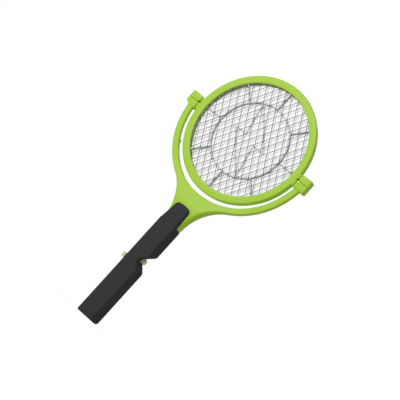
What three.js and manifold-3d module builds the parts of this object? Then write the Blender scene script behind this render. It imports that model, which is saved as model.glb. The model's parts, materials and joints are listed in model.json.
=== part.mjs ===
// Electric insect racket. A round grid head tilts in a forked yoke on a battery handle.
// Millimetres. +Z runs up the handle to the head, the front faces -Y, the origin is the middle of the butt.
import * as THREE from "three";
import { mergeVertices } from "three/addons/utils/BufferGeometryUtils.js";
import Module from "manifold-3d";

const wasm = await Module();
wasm.setup();

// Clearances
const seam = 0.3;
const runningGap = 0.1;

// Head
const headCentre = 346.9;
const ringRadius = 101.8;
const ringBand = 11.8;
const ringThickness = 12;
const ringFace = 2;
const ringWall = 2.1;
const ringFillet = 3.6;
const discSeat = 4;
const guardThickness = 0.9;
const electrodeThickness = 0.9;
const strandWidth = 1.4;
const strandPitch = 27;
const strandAngle = 33;
const ribWidth = 1.8;
const ribCircle = 60;
const spokeCount = 8;
const zigzag = [[-33, 4], [-11.3, 3.6], [-23.4, 55.1], [33, -4], [11.3, -3.6], [23.4, -55.1]];
const ringScrewInset = 4.4;
const ringScrewAngles = [30, 90, 150, 210, 270, 330];

// Tilt axis and bearings
const axisDrop = 3.4;
const axisHeight = headCentre - axisDrop;
const pinRadius = 2.5;
const pinLength = 21;
const pinTail = 2.4;
const pinTailRadius = 0.8;
const bossReach = 1.8;
const bossHeight = 21;
const bossSlot = 3;
const blockGap = 0.8;
const blockWidth = 19.3;
const blockHeight = 23;
const blockThickness = 12;
const blockCorner = 3;
const leftHeelChamfer = [8, 5];
const leafThickness = 0.5;
const leafPocketSpan = [3, 8];
const leafPocketDepth = 5;

// Yoke
const headGap = 6;
const armWidth = 10.4;
const armThickness = 10;
const neckHalfWidth = 17;
const neckFront = -5;
const neckBack = 9.5;
const neckRampLow = 213;
const neckRampHigh = 260;
const tongueHalfWidth = 13;
const tongueLength = 16;
const leadRadius = 0.8;
const channelRadius = 1.4;
const leadInset = 2.5;
const leadSpacing = 6;
const leadStart = [7, 4];
const leadArc = [-10, -68];
const leadDrops = [[16, 1], [3, 21], [0, 37]];

// Handle
const handleHalfWidth = 16;
const handleDepth = 25;
const handleLength = 178;
const tipHeight = 212.6;
const tipHalfWidth = 14.2;
const tipCorner = 6;
const tipFront = -8.5;
const frontEdgeRadius = 2.5;
const backEdgeRadius = 5;
const wall = 2.2;
const buttChamfer = 2.5;
const notchTop = 125;
const notchFloor = 112;
const notchBottom = 97;
const notchFloorX = 4.2;
const notchFlat = 3;
const notchLean = 0.3;
const notchDeepening = 0.16;
const handleScrews = [[-8.5, 170], [8.5, 170], [-10.3, 122]];
const screwBossRadius = 3;

// Trigger and slide switch
const triggerHeight = 113.5;
const triggerSize = [5.6, 8.4];
const triggerNose = 12.5;
const triggerFlange = [1, 1.4];
const triggerTravel = 2;
const triggerNoseDepth = 3;
const triggerSwitchSize = [5.5, 6.4, 4.5, 4];
const knobHeight = 103;
const knobFromFront = 5.5;
const knobSize = [5.7, 6, 8];
const knobCorner = 1.5;
const knobStem = 3;
const slideSwitchSize = [4, 5.6, 7, 8];
const knobTravel = 4;

// Batteries and their door
const cellRadius = 7.25;
const cellLength = 50.5;
const cellShoulder = 1.2;
const cellSlack = 0.4;
const springHeight = 3;
const springTurns = 3;
const springWire = 0.3;
const springRadii = [5, 2.8];
const contactPlateSize = 10;
const doorHalfWidth = 10.6;
const doorLow = 12;
const doorHigh = 98;
const doorTab = [5, 1.2, 2];

// Circuit board and what stands on it: places along the handle are from the board's lower end
const boardPlane = 4;
const boardLow = 127;
const boardHigh = 160;
const boardHalfWidth = 10.3;
const boardThickness = 1.6;
const transformerSize = { x: [-9.5, 3.5], depth: 10, z: [18, 31] };
const capacitorSize = { radius: 4, x: 8.8, z: [14, 31] };
const transistorSize = { radius: 2.3, x: -6, depth: 4.6, z: 9 };
const diodeSize = { radius: 1.3, x: [-1, 5], z: 12 };
const resistorSize = { radius: 1.2, x: [-1, 6], z: 5 };
const wireRadius = 0.7;
const wireLanding = 4;
const negativeWireX = -6.2;

// Screws
const screwRadius = 1.1;
const screwHeadRadius = 2.3;
const screwHeadHeight = 1.4;
const screwSink = 0.4;

// Derived places
const handleFront = -handleDepth / 2;
const handleBack = handleDepth / 2;
const headPlane = handleBack - ringThickness / 2;
const ringInner = ringRadius - ringBand;
const ringFront = headPlane - ringThickness / 2;
const ringBack = headPlane + ringThickness / 2;
const discRadius = ringInner + discSeat;
const yokeInner = ringRadius + headGap;
const yokeOuter = yokeInner + armWidth;
const blockInner = ringRadius + bossReach + blockGap;
const blockOuter = blockInner + blockWidth;
const blockLow = axisHeight - blockHeight / 2;
const blockHigh = axisHeight + blockHeight / 2;
const neckRoot = handleLength + seam;
const cellLow = wall + springHeight;
const cellTop = cellLow + 2 * cellLength + seam;
const knobY = handleFront + knobFromFront;
const notchFall = (notchFloor - notchFlat - notchBottom) / (handleHalfWidth - notchFloorX);
const notchRise = (notchTop - notchFloor - notchFlat) / (handleHalfWidth - notchFloorX);
const notchAtCell = notchFloorX + (notchFloor - notchFlat - cellTop + cellShoulder) / notchFall;
const cellX = notchAtCell - 1.3 * wall - cellRadius - cellSlack;
const cellY = 0;
const tabX = doorHalfWidth - doorTab[0] / 2 - seam;
const tongueBack = handleBack - wall - 1.3;
const far = 600;

// Materials
function finish(color, roughness, metalness = 0) {
  return new THREE.MeshStandardMaterial({ color, roughness, metalness });
}
const lime = finish(0xaad84a, 0.4);
const black = finish(0x3a3a3b, 0.6);
const paleLime = finish(0xcfe59a, 0.45);
const paleGrey = finish(0xd9dcda, 0.5);
const zinc = finish(0xb4b6b8, 0.35, 1);
const steel = finish(0x9a9c9f, 0.35, 1);
const brass = finish(0xc9a657, 0.3, 1);
const boardGreen = finish(0x2f6b3c, 0.55);
const cellJacket = finish(0x8c9299, 0.4, 0.4);
const ferrite = finish(0x2b2622, 0.7);
const redWire = finish(0xb3382c, 0.5);

const racket = new THREE.Group();
const degrees = Math.PI / 180;

// Solids from geometries
function solidOf(geometry) {
  const bare = geometry.clone();
  bare.deleteAttribute("normal");
  bare.deleteAttribute("uv");
  const merged = mergeVertices(bare, 1e-4);
  const vertProperties = new Float32Array(merged.attributes.position.array);
  const triVerts = new Uint32Array(merged.index.array);
  return new wasm.Manifold(new wasm.Mesh({ numProp: 3, vertProperties, triVerts }));
}

function joined(solids) {
  return solids.reduce((sum, next) => sum.add(next));
}

function cut(body, tools) {
  return tools.reduce((rest, tool) => rest.subtract(tool), body);
}

function addPiece(name, solid, material) {
  const { vertProperties, triVerts } = solid.getMesh();
  const geometry = new THREE.BufferGeometry();
  geometry.setAttribute("position", new THREE.BufferAttribute(vertProperties, 3));
  geometry.setIndex(new THREE.BufferAttribute(triVerts, 1));
  geometry.computeVertexNormals();
  const mesh = new THREE.Mesh(geometry, material);
  mesh.name = name;
  racket.add(mesh);
}

// A block between two corners
function block(x0, x1, y0, y1, z0, z1) {
  const geometry = new THREE.BoxGeometry(x1 - x0, y1 - y0, z1 - z0);
  geometry.translate((x0 + x1) / 2, (y0 + y1) / 2, (z0 + z1) / 2);
  return solidOf(geometry);
}

// An outline drawn in X and Z, thick from front to back
function plate(shape, front, back, curveSegments = 12) {
  const settings = { depth: back - front, bevelEnabled: false, curveSegments };
  const geometry = new THREE.ExtrudeGeometry(shape, settings);
  geometry.rotateX(Math.PI / 2);
  geometry.translate(0, back, 0);
  return geometry;
}

// An outline drawn in Y and Z, wide from left to right
function sideProfile(shape, halfWidth) {
  const settings = { depth: 2 * halfWidth, bevelEnabled: false, curveSegments: 4 };
  const geometry = new THREE.ExtrudeGeometry(shape, settings);
  const turn = new THREE.Matrix4();
  turn.makeBasis(new THREE.Vector3(0, 1, 0), new THREE.Vector3(0, 0, 1), new THREE.Vector3(1, 0, 0));
  geometry.applyMatrix4(turn);
  geometry.translate(-halfWidth, 0, 0);
  return solidOf(geometry);
}

function rodAlongX(radius, x0, x1, y, z, sides = 20) {
  const geometry = new THREE.CylinderGeometry(radius, radius, x1 - x0, sides);
  geometry.rotateZ(Math.PI / 2);
  geometry.translate((x0 + x1) / 2, y, z);
  return solidOf(geometry);
}

function rodAlongY(radius, x, y0, y1, z, sides = 16) {
  const geometry = new THREE.CylinderGeometry(radius, radius, y1 - y0, sides);
  geometry.translate(x, (y0 + y1) / 2, z);
  return solidOf(geometry);
}

function rodAlongZ(radius, x, y, z0, z1, sides = 20) {
  const geometry = new THREE.CylinderGeometry(radius, radius, z1 - z0, sides);
  geometry.rotateX(Math.PI / 2);
  geometry.translate(x, y, (z0 + z1) / 2);
  return solidOf(geometry);
}

function polygon(points) {
  return new THREE.Shape(points.map(([x, y]) => new THREE.Vector2(x, y)));
}

// A closed ring turned about the head's own axis from a profile of [radius, y]
function turned(profile, segments = 40) {
  const points = profile.map(([radius, y]) => new THREE.Vector2(radius, y));
  points.push(points[0].clone());
  const geometry = new THREE.LatheGeometry(points, segments);
  geometry.translate(0, 0, headCentre);
  return solidOf(geometry);
}

function arcPoints(cx, cy, radius, from, to, steps) {
  const points = [];
  for (let step = 0; step <= steps; step += 1) {
    const angle = (from + ((to - from) * step) / steps) * degrees;
    points.push([cx + radius * Math.cos(angle), cy + radius * Math.sin(angle)]);
  }
  return points;
}

// A pan-head screw driven from the back, its head's face at y = headFace
function addBackScrew(name, x, z, headFace, length) {
  const head = rodAlongY(screwHeadRadius, x, headFace - screwHeadHeight, headFace, z, 12);
  const shank = rodAlongY(screwRadius, x, headFace - length, headFace - screwHeadHeight / 2, z, 8);
  addPiece(name, head.add(shank), steel);
}

function backScrewHole(x, z, headFace, length) {
  const headRoom = rodAlongY(screwHeadRadius + seam, x, headFace - screwHeadHeight - seam, far, z, 12);
  const shankRoom = rodAlongY(screwRadius + seam / 2, x, headFace - length - seam, headFace, z, 8);
  return headRoom.add(shankRoom);
}

// The yoke's outline: two arms round the head, flaring smoothly into the neck
function flareRadius() {
  const drop = headCentre - neckRoot;
  const reach = neckHalfWidth ** 2 + drop ** 2 - yokeOuter ** 2;
  return reach / (2 * (yokeOuter - neckHalfWidth));
}

function yokeOutline() {
  const radius = flareRadius();
  const centreX = neckHalfWidth + radius;
  const meet = Math.atan2(neckRoot - headCentre, centreX);
  const armTop = Math.asin((blockLow + 2 - headCentre) / yokeOuter);
  const armTopInner = Math.asin((blockLow + 2 - headCentre) / yokeInner);
  const shape = new THREE.Shape();
  shape.moveTo(yokeOuter * Math.cos(armTop), blockLow + 2);
  shape.absarc(0, headCentre, yokeOuter, armTop, meet, true);
  shape.absarc(centreX, neckRoot, radius, meet + Math.PI, Math.PI, false);
  shape.lineTo(-neckHalfWidth, neckRoot);
  shape.absarc(-centreX, neckRoot, radius, 0, -meet, false);
  shape.absarc(0, headCentre, yokeOuter, Math.PI - meet, Math.PI - armTop, true);
  shape.lineTo(-yokeInner * Math.cos(armTopInner), blockLow + 2);
  shape.absarc(0, headCentre, yokeInner, Math.PI - armTopInner, armTopInner + 2 * Math.PI, false);
  return shape;
}

// The yoke seen from the side: level arms, then a ramp to the thicker neck
function yokeSide(spare) {
  const armFront = headPlane - armThickness / 2 - spare;
  const armBack = headPlane + armThickness / 2 + spare;
  const middle = (neckRampLow + neckRampHigh) / 2;
  const shape = new THREE.Shape();
  shape.moveTo(neckFront - spare, neckRoot - spare);
  shape.lineTo(neckBack + spare, neckRoot - spare);
  shape.lineTo(neckBack + spare, neckRampLow);
  shape.bezierCurveTo(neckBack + spare, middle, armBack, middle, armBack, neckRampHigh);
  shape.lineTo(armBack, far);
  shape.lineTo(armFront, far);
  shape.lineTo(armFront, neckRampHigh);
  shape.bezierCurveTo(armFront, middle, neckFront - spare, middle, neckFront - spare, neckRampLow);
  return shape;
}

function yokeBlank() {
  const outline = solidOf(plate(yokeOutline(), -far, far, 8));
  return outline.intersect(sideProfile(yokeSide(0), blockOuter));
}

// Bearing blocks at the ends of the arms, below the caps
function blockOutline(side) {
  const [heelX, heelZ] = side < 0 ? leftHeelChamfer : [blockCorner, blockCorner];
  const top = axisHeight - seam / 2;
  return polygon([
    [side * blockInner, top],
    [side * blockInner, blockLow],
    [side * (blockOuter - heelX), blockLow],
    [side * blockOuter, blockLow + heelZ],
    [side * blockOuter, top],
  ]);
}

function capOutline(side) {
  return polygon([
    [side * blockInner, axisHeight + seam / 2],
    [side * blockInner, blockHigh - blockCorner],
    [side * (blockInner + blockCorner), blockHigh],
    [side * (blockOuter - 1), blockHigh],
    [side * blockOuter, blockHigh - 1],
    [side * blockOuter, axisHeight + seam / 2],
  ]);
}

function blockPlate(outline) {
  return solidOf(plate(outline, headPlane - blockThickness / 2, headPlane + blockThickness / 2));
}

function pinBore(side) {
  const reach = side * (ringRadius + bossReach + pinLength / 2);
  const end = reach + side * seam;
  const start = side * (ringRadius + bossReach);
  return rodAlongX(pinRadius + runningGap, Math.min(start, end), Math.max(start, end), headPlane, axisHeight, 24);
}

// The lead's route: down beside the arm's outer edge, round into the neck and down to the handle
function leadRoute(side, low) {
  const radius = yokeOuter - leadInset;
  const [startX, startDrop] = leadStart;
  const [arcStart, arcEnd] = leadArc;
  const points = [new THREE.Vector3(side * (blockInner + startX), headPlane, axisHeight - pinRadius - startDrop)];
  for (const [x, z] of arcPoints(0, headCentre, radius, arcStart, arcEnd, 8)) {
    points.push(new THREE.Vector3(side * x, headPlane, z));
  }
  const lane = leadSpacing / 2;
  const armFoot = headCentre - yokeOuter;
  for (const [out, drop] of leadDrops) {
    points.push(new THREE.Vector3(side * (lane + out), headPlane, armFoot - drop));
  }
  points.push(new THREE.Vector3(side * lane, headPlane, low));
  return new THREE.CatmullRomCurve3(points, false, "centripetal");
}

function sweep(path, radius, steps, sides) {
  const section = new THREE.Shape();
  section.absarc(0, 0, radius, 0, 2 * Math.PI, false);
  const settings = { steps, bevelEnabled: false, extrudePath: path, curveSegments: sides / 2 };
  return solidOf(new THREE.ExtrudeGeometry(section, settings));
}

function leafPocket(side) {
  const [near, wide] = leafPocketSpan;
  const low = Math.min(side * (blockInner + near), side * (blockInner + near + wide));
  const half = pinRadius + runningGap;
  const bottom = axisHeight - pinRadius - leafPocketDepth;
  return block(low, low + wide, headPlane - half, headPlane + half, bottom, bottom + leafPocketDepth + 0.5);
}

function yokeScrewPlaces() {
  const places = [];
  const circle = yokeInner + screwHeadRadius + seam + 0.4;
  for (const side of [-1, 1]) {
    places.push([side * circle * Math.cos(36 * degrees), headCentre - circle * Math.sin(36 * degrees)]);
    places.push([side * 14, headCentre - yokeInner - 9]);
  }
  return places;
}

function capScrewX(side) {
  return side * (blockOuter - 4.2);
}

const capScrewY = headPlane + 3;
const capScrewFace = blockHigh - screwSink;
const capScrewLength = 16;

function capScrewHole(side) {
  const x = capScrewX(side);
  const headRoom = rodAlongZ(screwHeadRadius + seam, x, capScrewY, capScrewFace - screwHeadHeight - seam, far, 12);
  const low = capScrewFace - capScrewLength - seam;
  return headRoom.add(rodAlongZ(screwRadius + seam / 2, x, capScrewY, low, capScrewFace, 8));
}

function yokeScrewFace() {
  return headPlane + armThickness / 2 - screwSink;
}

function makeYoke() {
  const tongueLow = handleLength - tongueLength;
  const tongue = block(-tongueHalfWidth, tongueHalfWidth, neckFront, tongueBack, tongueLow, neckRoot + 1);
  let body = joined([yokeBlank(), tongue, blockPlate(blockOutline(-1)), blockPlate(blockOutline(1))]);
  const tools = [];
  for (const side of [-1, 1]) {
    tools.push(pinBore(side));
    tools.push(leafPocket(side));
    tools.push(capScrewHole(side));
    tools.push(sweep(leadRoute(side, tongueLow - 2), channelRadius, 26, 4));
  }
  for (const [x, z] of handleScrews.slice(0, 2)) {
    tools.push(rodAlongY(screwBossRadius + seam, x, -far, far, z, 16));
  }
  for (const [x, z] of yokeScrewPlaces()) {
    tools.push(backScrewHole(x, z, yokeScrewFace(), 8));
  }
  body = cut(body, tools);
  addPiece("yoke_front", body.intersect(block(-far, far, -far, headPlane - seam / 2, 0, far)), lime);
  addPiece("yoke_back", body.intersect(block(-far, far, headPlane + seam / 2, far, 0, far)), lime);
  yokeScrewPlaces().forEach(([x, z], index) => {
    addBackScrew(`yoke_screw_${index + 1}`, x, z, yokeScrewFace(), 8);
  });
}

function makeBearings() {
  for (const side of [-1, 1]) {
    const name = side < 0 ? "left" : "right";
    const cap = cut(blockPlate(capOutline(side)), [pinBore(side), capScrewHole(side)]);
    addPiece(`pivot_cap_${name}`, cap, lime);
    const x = capScrewX(side);
    const head = rodAlongZ(screwHeadRadius, x, capScrewY, capScrewFace - screwHeadHeight, capScrewFace, 12);
    const shankTop = capScrewFace - screwHeadHeight / 2;
    const shank = rodAlongZ(screwRadius, x, capScrewY, capScrewFace - capScrewLength, shankTop, 8);
    addPiece(`cap_screw_${name}`, head.add(shank), steel);
    const leafX = Math.min(side * (blockInner + 3.4), side * (blockInner + 10.6));
    const leafTop = axisHeight - pinRadius - seam;
    const leaf = block(leafX, leafX + 7.2, headPlane - 2, headPlane + 2, leafTop - leafThickness, leafTop);
    addPiece(`contact_leaf_${name}`, leaf, brass);
    addPiece(`yoke_lead_${name}`, sweep(leadRoute(side, boardHigh + 1), leadRadius, 26, 6), redWire);
  }
}

// Head ring: two L-section halves with a filleted outer edge
function ringProfile(towards) {
  const face = headPlane + (towards * ringThickness) / 2;
  const split = headPlane + (towards * seam) / 2;
  const turnPoint = face - towards * ringFillet;
  const profile = [[ringInner, face - towards * ringFace], [ringInner, face - towards * 0.6], [ringInner + 0.6, face]];
  const from = 90 * towards;
  for (const point of arcPoints(ringRadius - ringFillet, turnPoint, ringFillet, from, 0, 3)) {
    profile.push(point);
  }
  profile.push([ringRadius, split], [ringRadius - ringWall, split]);
  profile.push([ringRadius - ringWall, face - towards * ringFace]);
  return towards < 0 ? profile : profile.reverse();
}

function ringBoss(side) {
  const low = axisHeight - bossHeight / 2;
  const outline = polygon([
    [side * (ringRadius - ringWall), low],
    [side * (ringRadius + bossReach), low],
    [side * (ringRadius + bossReach), low + bossHeight],
    [side * (ringRadius - ringWall), low + bossHeight],
  ]);
  return solidOf(plate(outline, ringFront + 0.5, ringBack - 0.5));
}

function ringScrewPlaces() {
  return ringScrewAngles.map((angle) => [
    (ringRadius - ringScrewInset) * Math.cos(angle * degrees),
    headCentre + (ringRadius - ringScrewInset) * Math.sin(angle * degrees),
  ]);
}

function makeRing() {
  const towardsName = { "-1": "ring_front", 1: "ring_back" };
  const screwFace = ringBack - screwSink;
  const screwLength = ringThickness - ringFace;
  for (const towards of [-1, 1]) {
    const face = headPlane + (towards * ringThickness) / 2;
    const split = headPlane + (towards * seam) / 2;
    const bossY = [Math.min(face - towards, split), Math.max(face - towards, split)];
    let half = turned(ringProfile(towards));
    for (const [x, z] of ringScrewPlaces()) {
      half = half.add(rodAlongY(screwHeadRadius + 0.7, x, bossY[0], bossY[1], z, 12));
    }
    const halfSpace = towards < 0 ? block(-far, far, -far, split, 0, far) : block(-far, far, split, far, 0, far);
    half = half.add(joined([ringBoss(-1), ringBoss(1)]).intersect(halfSpace));
    const inside = [[discRadius + seam, ringFront + ringFace], [discRadius + seam, ringBack - ringFace],
      [0, ringBack - ringFace], [0, ringFront + ringFace]];
    const tools = [turned(inside)];
    for (const side of [-1, 1]) {
      const start = Math.min(side * (discRadius - 1), side * (blockInner + 1));
      tools.push(rodAlongX(pinRadius + runningGap, start, start + blockInner + 2 - discRadius, headPlane, axisHeight, 24));
      const slotX = Math.min(side * (ringRadius - 0.5), side * (ringRadius + bossReach + 1));
      const slotLow = axisHeight - bossSlot / 2;
      tools.push(block(slotX, slotX + bossReach + 1.5, -far, headPlane, slotLow, slotLow + bossSlot));
    }
    for (const [x, z] of ringScrewPlaces()) {
      tools.push(backScrewHole(x, z, screwFace, screwLength));
    }
    addPiece(towardsName[towards], cut(half, tools), lime);
  }
  ringScrewPlaces().forEach(([x, z], index) => {
    addBackScrew(`ring_screw_${index + 1}`, x, z, screwFace, screwLength);
  });
}

// A straight bar in the head's plane between two points, given from the head's centre
function bar([x0, z0], [x1, z1], width, front, back) {
  const length = Math.hypot(x1 - x0, z1 - z0);
  const geometry = new THREE.BoxGeometry(length, back - front, width);
  geometry.rotateY(-Math.atan2(z1 - z0, x1 - x0));
  geometry.translate((x0 + x1) / 2, (front + back) / 2, headCentre + (z0 + z1) / 2);
  return solidOf(geometry);
}

function rim(inner, outer, front, back) {
  return turned([[outer, front], [outer, back], [inner, back], [inner, front]]);
}

// Expanded-metal mesh: two families of strands either side of the handle's direction
function diamondMesh(front, back, shift) {
  const strands = [];
  for (const lean of [-1, 1]) {
    const angle = 90 * degrees + lean * strandAngle * degrees;
    const along = [Math.cos(angle), Math.sin(angle)];
    const across = [-along[1], along[0]];
    for (let offset = shift - 4 * strandPitch; offset < discRadius; offset += strandPitch) {
      const half = Math.sqrt(Math.max(0, (discRadius - 1) ** 2 - offset ** 2));
      if (half < strandPitch) continue;
      const start = [across[0] * offset - along[0] * half, across[1] * offset - along[1] * half];
      const end = [across[0] * offset + along[0] * half, across[1] * offset + along[1] * half];
      strands.push(bar(start, end, strandWidth, front, back));
    }
  }
  return joined([rim(ringInner - 0.5, discRadius, front, back), ...strands]);
}

function spacer(front, back, withZigzag) {
  const parts = [rim(ringInner + 0.4, discRadius, front, back)];
  parts.push(rim(ribCircle - ribWidth / 2, ribCircle + ribWidth / 2, front, back));
  for (let spoke = 0; spoke < spokeCount; spoke += 1) {
    const angle = (spoke * 2 * Math.PI) / spokeCount;
    const direction = [Math.cos(angle), Math.sin(angle)];
    const inner = direction.map((value) => value * ribCircle);
    const outer = direction.map((value) => value * (ringInner + 2));
    parts.push(bar(inner, outer, ribWidth, front, back));
  }
  if (withZigzag) {
    zigzag.forEach((point, index) => {
      parts.push(bar(point, zigzag[(index + 1) % zigzag.length], ribWidth, front, back));
    });
  }
  return joined(parts);
}

function makeGrids() {
  const stackGap = seam / 2;
  const guardFront = ringFront + ringFace + stackGap;
  const guardBack = ringBack - ringFace - stackGap;
  const electrodeFront = headPlane - electrodeThickness / 2;
  const electrodeBack = headPlane + electrodeThickness / 2;
  addPiece("guard_front", diamondMesh(guardFront, guardFront + guardThickness, 0), zinc);
  const spacerFront = guardFront + guardThickness + stackGap;
  addPiece("spacer_front", spacer(spacerFront, electrodeFront - stackGap, true), paleGrey);
  addPiece("electrode_grid", diamondMesh(electrodeFront, electrodeBack, strandPitch / 2), zinc);
  const spacerBack = guardBack - guardThickness - stackGap;
  addPiece("spacer_back", spacer(electrodeBack + stackGap, spacerBack, false), paleGrey);
  addPiece("guard_back", diamondMesh(guardBack - guardThickness, guardBack, 0), zinc);
}

function makePins() {
  for (const side of [-1, 1]) {
    const middle = ringRadius + bossReach;
    const inner = discRadius + pinTail + seam;
    const outer = middle + pinLength / 2;
    const spans = [[inner, outer, pinRadius], [discRadius + seam, inner + 1, pinTailRadius]];
    const rods = spans.map(([from, to, radius]) => {
      const start = Math.min(side * from, side * to);
      return rodAlongX(radius, start, start + to - from, headPlane, axisHeight, radius === pinRadius ? 24 : 8);
    });
    addPiece(`trunnion_pin_${side < 0 ? "left" : "right"}`, joined(rods), brass);
  }
}

// Handle
function handleSection(inset) {
  const half = handleHalfWidth - inset;
  const front = handleFront + inset;
  const back = handleBack - inset;
  const frontRadius = Math.max(frontEdgeRadius - inset, 0.5);
  const backRadius = Math.max(backEdgeRadius - inset, 0.5);
  const shape = new THREE.Shape();
  shape.absarc(half - frontRadius, front + frontRadius, frontRadius, -Math.PI / 2, 0, false);
  shape.absarc(half - backRadius, back - backRadius, backRadius, 0, Math.PI / 2, false);
  shape.absarc(-half + backRadius, back - backRadius, backRadius, Math.PI / 2, Math.PI, false);
  shape.absarc(-half + frontRadius, front + frontRadius, frontRadius, Math.PI, 1.5 * Math.PI, false);
  return shape;
}

function handlePrism(inset, low, high) {
  const settings = { depth: high - low, bevelEnabled: false, curveSegments: 4 };
  const geometry = new THREE.ExtrudeGeometry(handleSection(inset), settings);
  geometry.translate(0, 0, low);
  return solidOf(geometry);
}

function handleOutline() {
  const half = handleHalfWidth;
  const taperStart = handleLength + 5;
  const shape = new THREE.Shape();
  shape.moveTo(-half + buttChamfer, 0);
  shape.lineTo(half - buttChamfer, 0);
  shape.lineTo(half, buttChamfer);
  shape.lineTo(half, taperStart);
  shape.lineTo(tipHalfWidth, tipHeight - tipCorner - 1);
  shape.quadraticCurveTo(tipHalfWidth, tipHeight - 1, tipHalfWidth - tipCorner, tipHeight - 1);
  shape.quadraticCurveTo(0, tipHeight + 1, -tipHalfWidth + tipCorner, tipHeight - 1);
  shape.quadraticCurveTo(-tipHalfWidth, tipHeight - 1, -tipHalfWidth, tipHeight - tipCorner - 1);
  shape.lineTo(-half, taperStart);
  shape.lineTo(-half, buttChamfer);
  return shape;
}

function handleSide() {
  const chamfer = buttChamfer;
  return polygon([
    [handleFront + 1, 0],
    [handleBack - chamfer, 0],
    [handleBack, chamfer],
    [handleBack, handleLength],
    [headPlane, handleLength],
    [headPlane, tipHeight + 5],
    [tipFront, tipHeight + 5],
    [tipFront, tipHeight],
    [handleFront, handleLength + 5],
    [handleFront, 1],
  ]);
}

// The finger notch: a flat-bottomed V that leans up and deepens towards the back
function notchTool(spare) {
  const outer = handleHalfWidth + 20;
  const shape = polygon([
    [notchFloorX - spare, notchFloor - notchFlat - spare / 2],
    [outer, notchFloor - notchFlat - spare * 1.2 - notchFall * (outer - notchFloorX)],
    [outer, notchFloor + notchFlat + spare * 1.2 + notchRise * (outer - notchFloorX)],
    [notchFloorX - spare, notchFloor + notchFlat + spare / 2],
  ]);
  const geometry = plate(shape, -40, 40);
  geometry.applyMatrix4(new THREE.Matrix4().makeShear(0, 0, -notchDeepening, notchLean, 0, 0));
  return solidOf(geometry);
}

function neckRoom() {
  const outline = solidOf(plate(yokeOutline(), -far, far, 8));
  return outline.intersect(sideProfile(yokeSide(seam), blockOuter));
}

function triggerOpening() {
  const [width, height] = triggerSize;
  const halfY = width / 2 + seam;
  const halfZ = height / 2 + seam;
  return block(-1, far, -halfY, halfY, triggerHeight - halfZ, triggerHeight + halfZ);
}

function knobSlot() {
  const half = knobStem / 2 + seam;
  const low = knobHeight - half;
  return block(-far, -handleHalfWidth + wall + 1, knobY - half, knobY + half, low, knobHeight + half + knobTravel);
}

function doorOpening() {
  const plateRoom = block(-doorHalfWidth - seam, doorHalfWidth + seam, handleBack - wall - 1, far, doorLow, doorHigh);
  const [tabWidth] = doorTab;
  const rooms = [-1, 1].map((side) => {
    const x = side * tabX;
    const low = doorLow - doorTab[2] - seam;
    return block(x - tabWidth / 2 - seam, x + tabWidth / 2 + seam, 0, handleBack - 1.1, low, doorLow + 1);
  });
  return joined([plateRoom, ...rooms]);
}

function handleScrewFace() {
  return handleBack - 3;
}

function makeHandle() {
  const cavityTop = handleLength - wall;
  const cavity = handlePrism(wall, wall, cavityTop).subtract(notchTool(wall));
  const blank = handlePrism(0, 0, tipHeight + 2)
    .intersect(solidOf(plate(handleOutline(), -40, 40, 6)))
    .intersect(sideProfile(handleSide(), handleHalfWidth + 1))
    .subtract(notchTool(0));
  let shell = blank.subtract(cavity);
  for (const [x, z] of handleScrews) {
    shell = shell.add(rodAlongY(screwBossRadius, x, handleFront + 1, handleBack - 1, z, 16));
  }
  const tongueRoom = block(
    -tongueHalfWidth - seam, tongueHalfWidth + seam,
    neckFront - seam, tongueBack + seam,
    cavityTop - 1, handleLength + 1,
  );
  const tools = [neckRoom(), tongueRoom, triggerOpening(), knobSlot(), doorOpening()];
  for (const [x, z] of handleScrews) {
    tools.push(backScrewHole(x, z, handleScrewFace(), 14));
  }
  shell = cut(shell, tools);
  addPiece("handle_front_shell", shell.intersect(block(-far, far, -far, -seam / 2, -1, far)), black);
  addPiece("handle_back_shell", shell.intersect(block(-far, far, seam / 2, far, -1, far)), black);
  handleScrews.forEach(([x, z], index) => {
    addBackScrew(`handle_screw_${index + 1}`, x, z, handleScrewFace(), 14);
  });
}

function makeTrigger() {
  const [width, height] = triggerSize;
  const [flangeThickness, flangeSpread] = triggerFlange;
  const flangeBack = notchFloorX - wall - seam - notchDeepening * (width / 2 + flangeSpread);
  const half = height / 2;
  const stemEnd = triggerNose - triggerNoseDepth + 1;
  const stem = block(flangeBack - flangeThickness, stemEnd, -width / 2, width / 2,
    triggerHeight - half, triggerHeight + half);
  const nose = new THREE.Shape();
  nose.moveTo(triggerNose - triggerNoseDepth, triggerHeight - half);
  nose.quadraticCurveTo(triggerNose, triggerHeight - half, triggerNose, triggerHeight);
  nose.quadraticCurveTo(triggerNose, triggerHeight + half, triggerNose - triggerNoseDepth, triggerHeight + half);
  const cap = solidOf(plate(nose, -width / 2, width / 2, 5));
  const flange = block(flangeBack - flangeThickness, flangeBack,
    -width / 2 - flangeSpread, width / 2 + flangeSpread,
    triggerHeight - half - flangeSpread, triggerHeight + half + flangeSpread);
  addPiece("trigger_button", joined([stem, cap, flange]), paleLime);
  const switchFace = flangeBack - flangeThickness - triggerTravel - seam;
  const [depth, breadth, below, above] = triggerSwitchSize;
  const switchBody = block(switchFace - depth, switchFace, -breadth / 2, breadth / 2,
    triggerHeight - below, triggerHeight + above);
  addPiece("trigger_switch_body", switchBody, ferrite);
}

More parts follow.
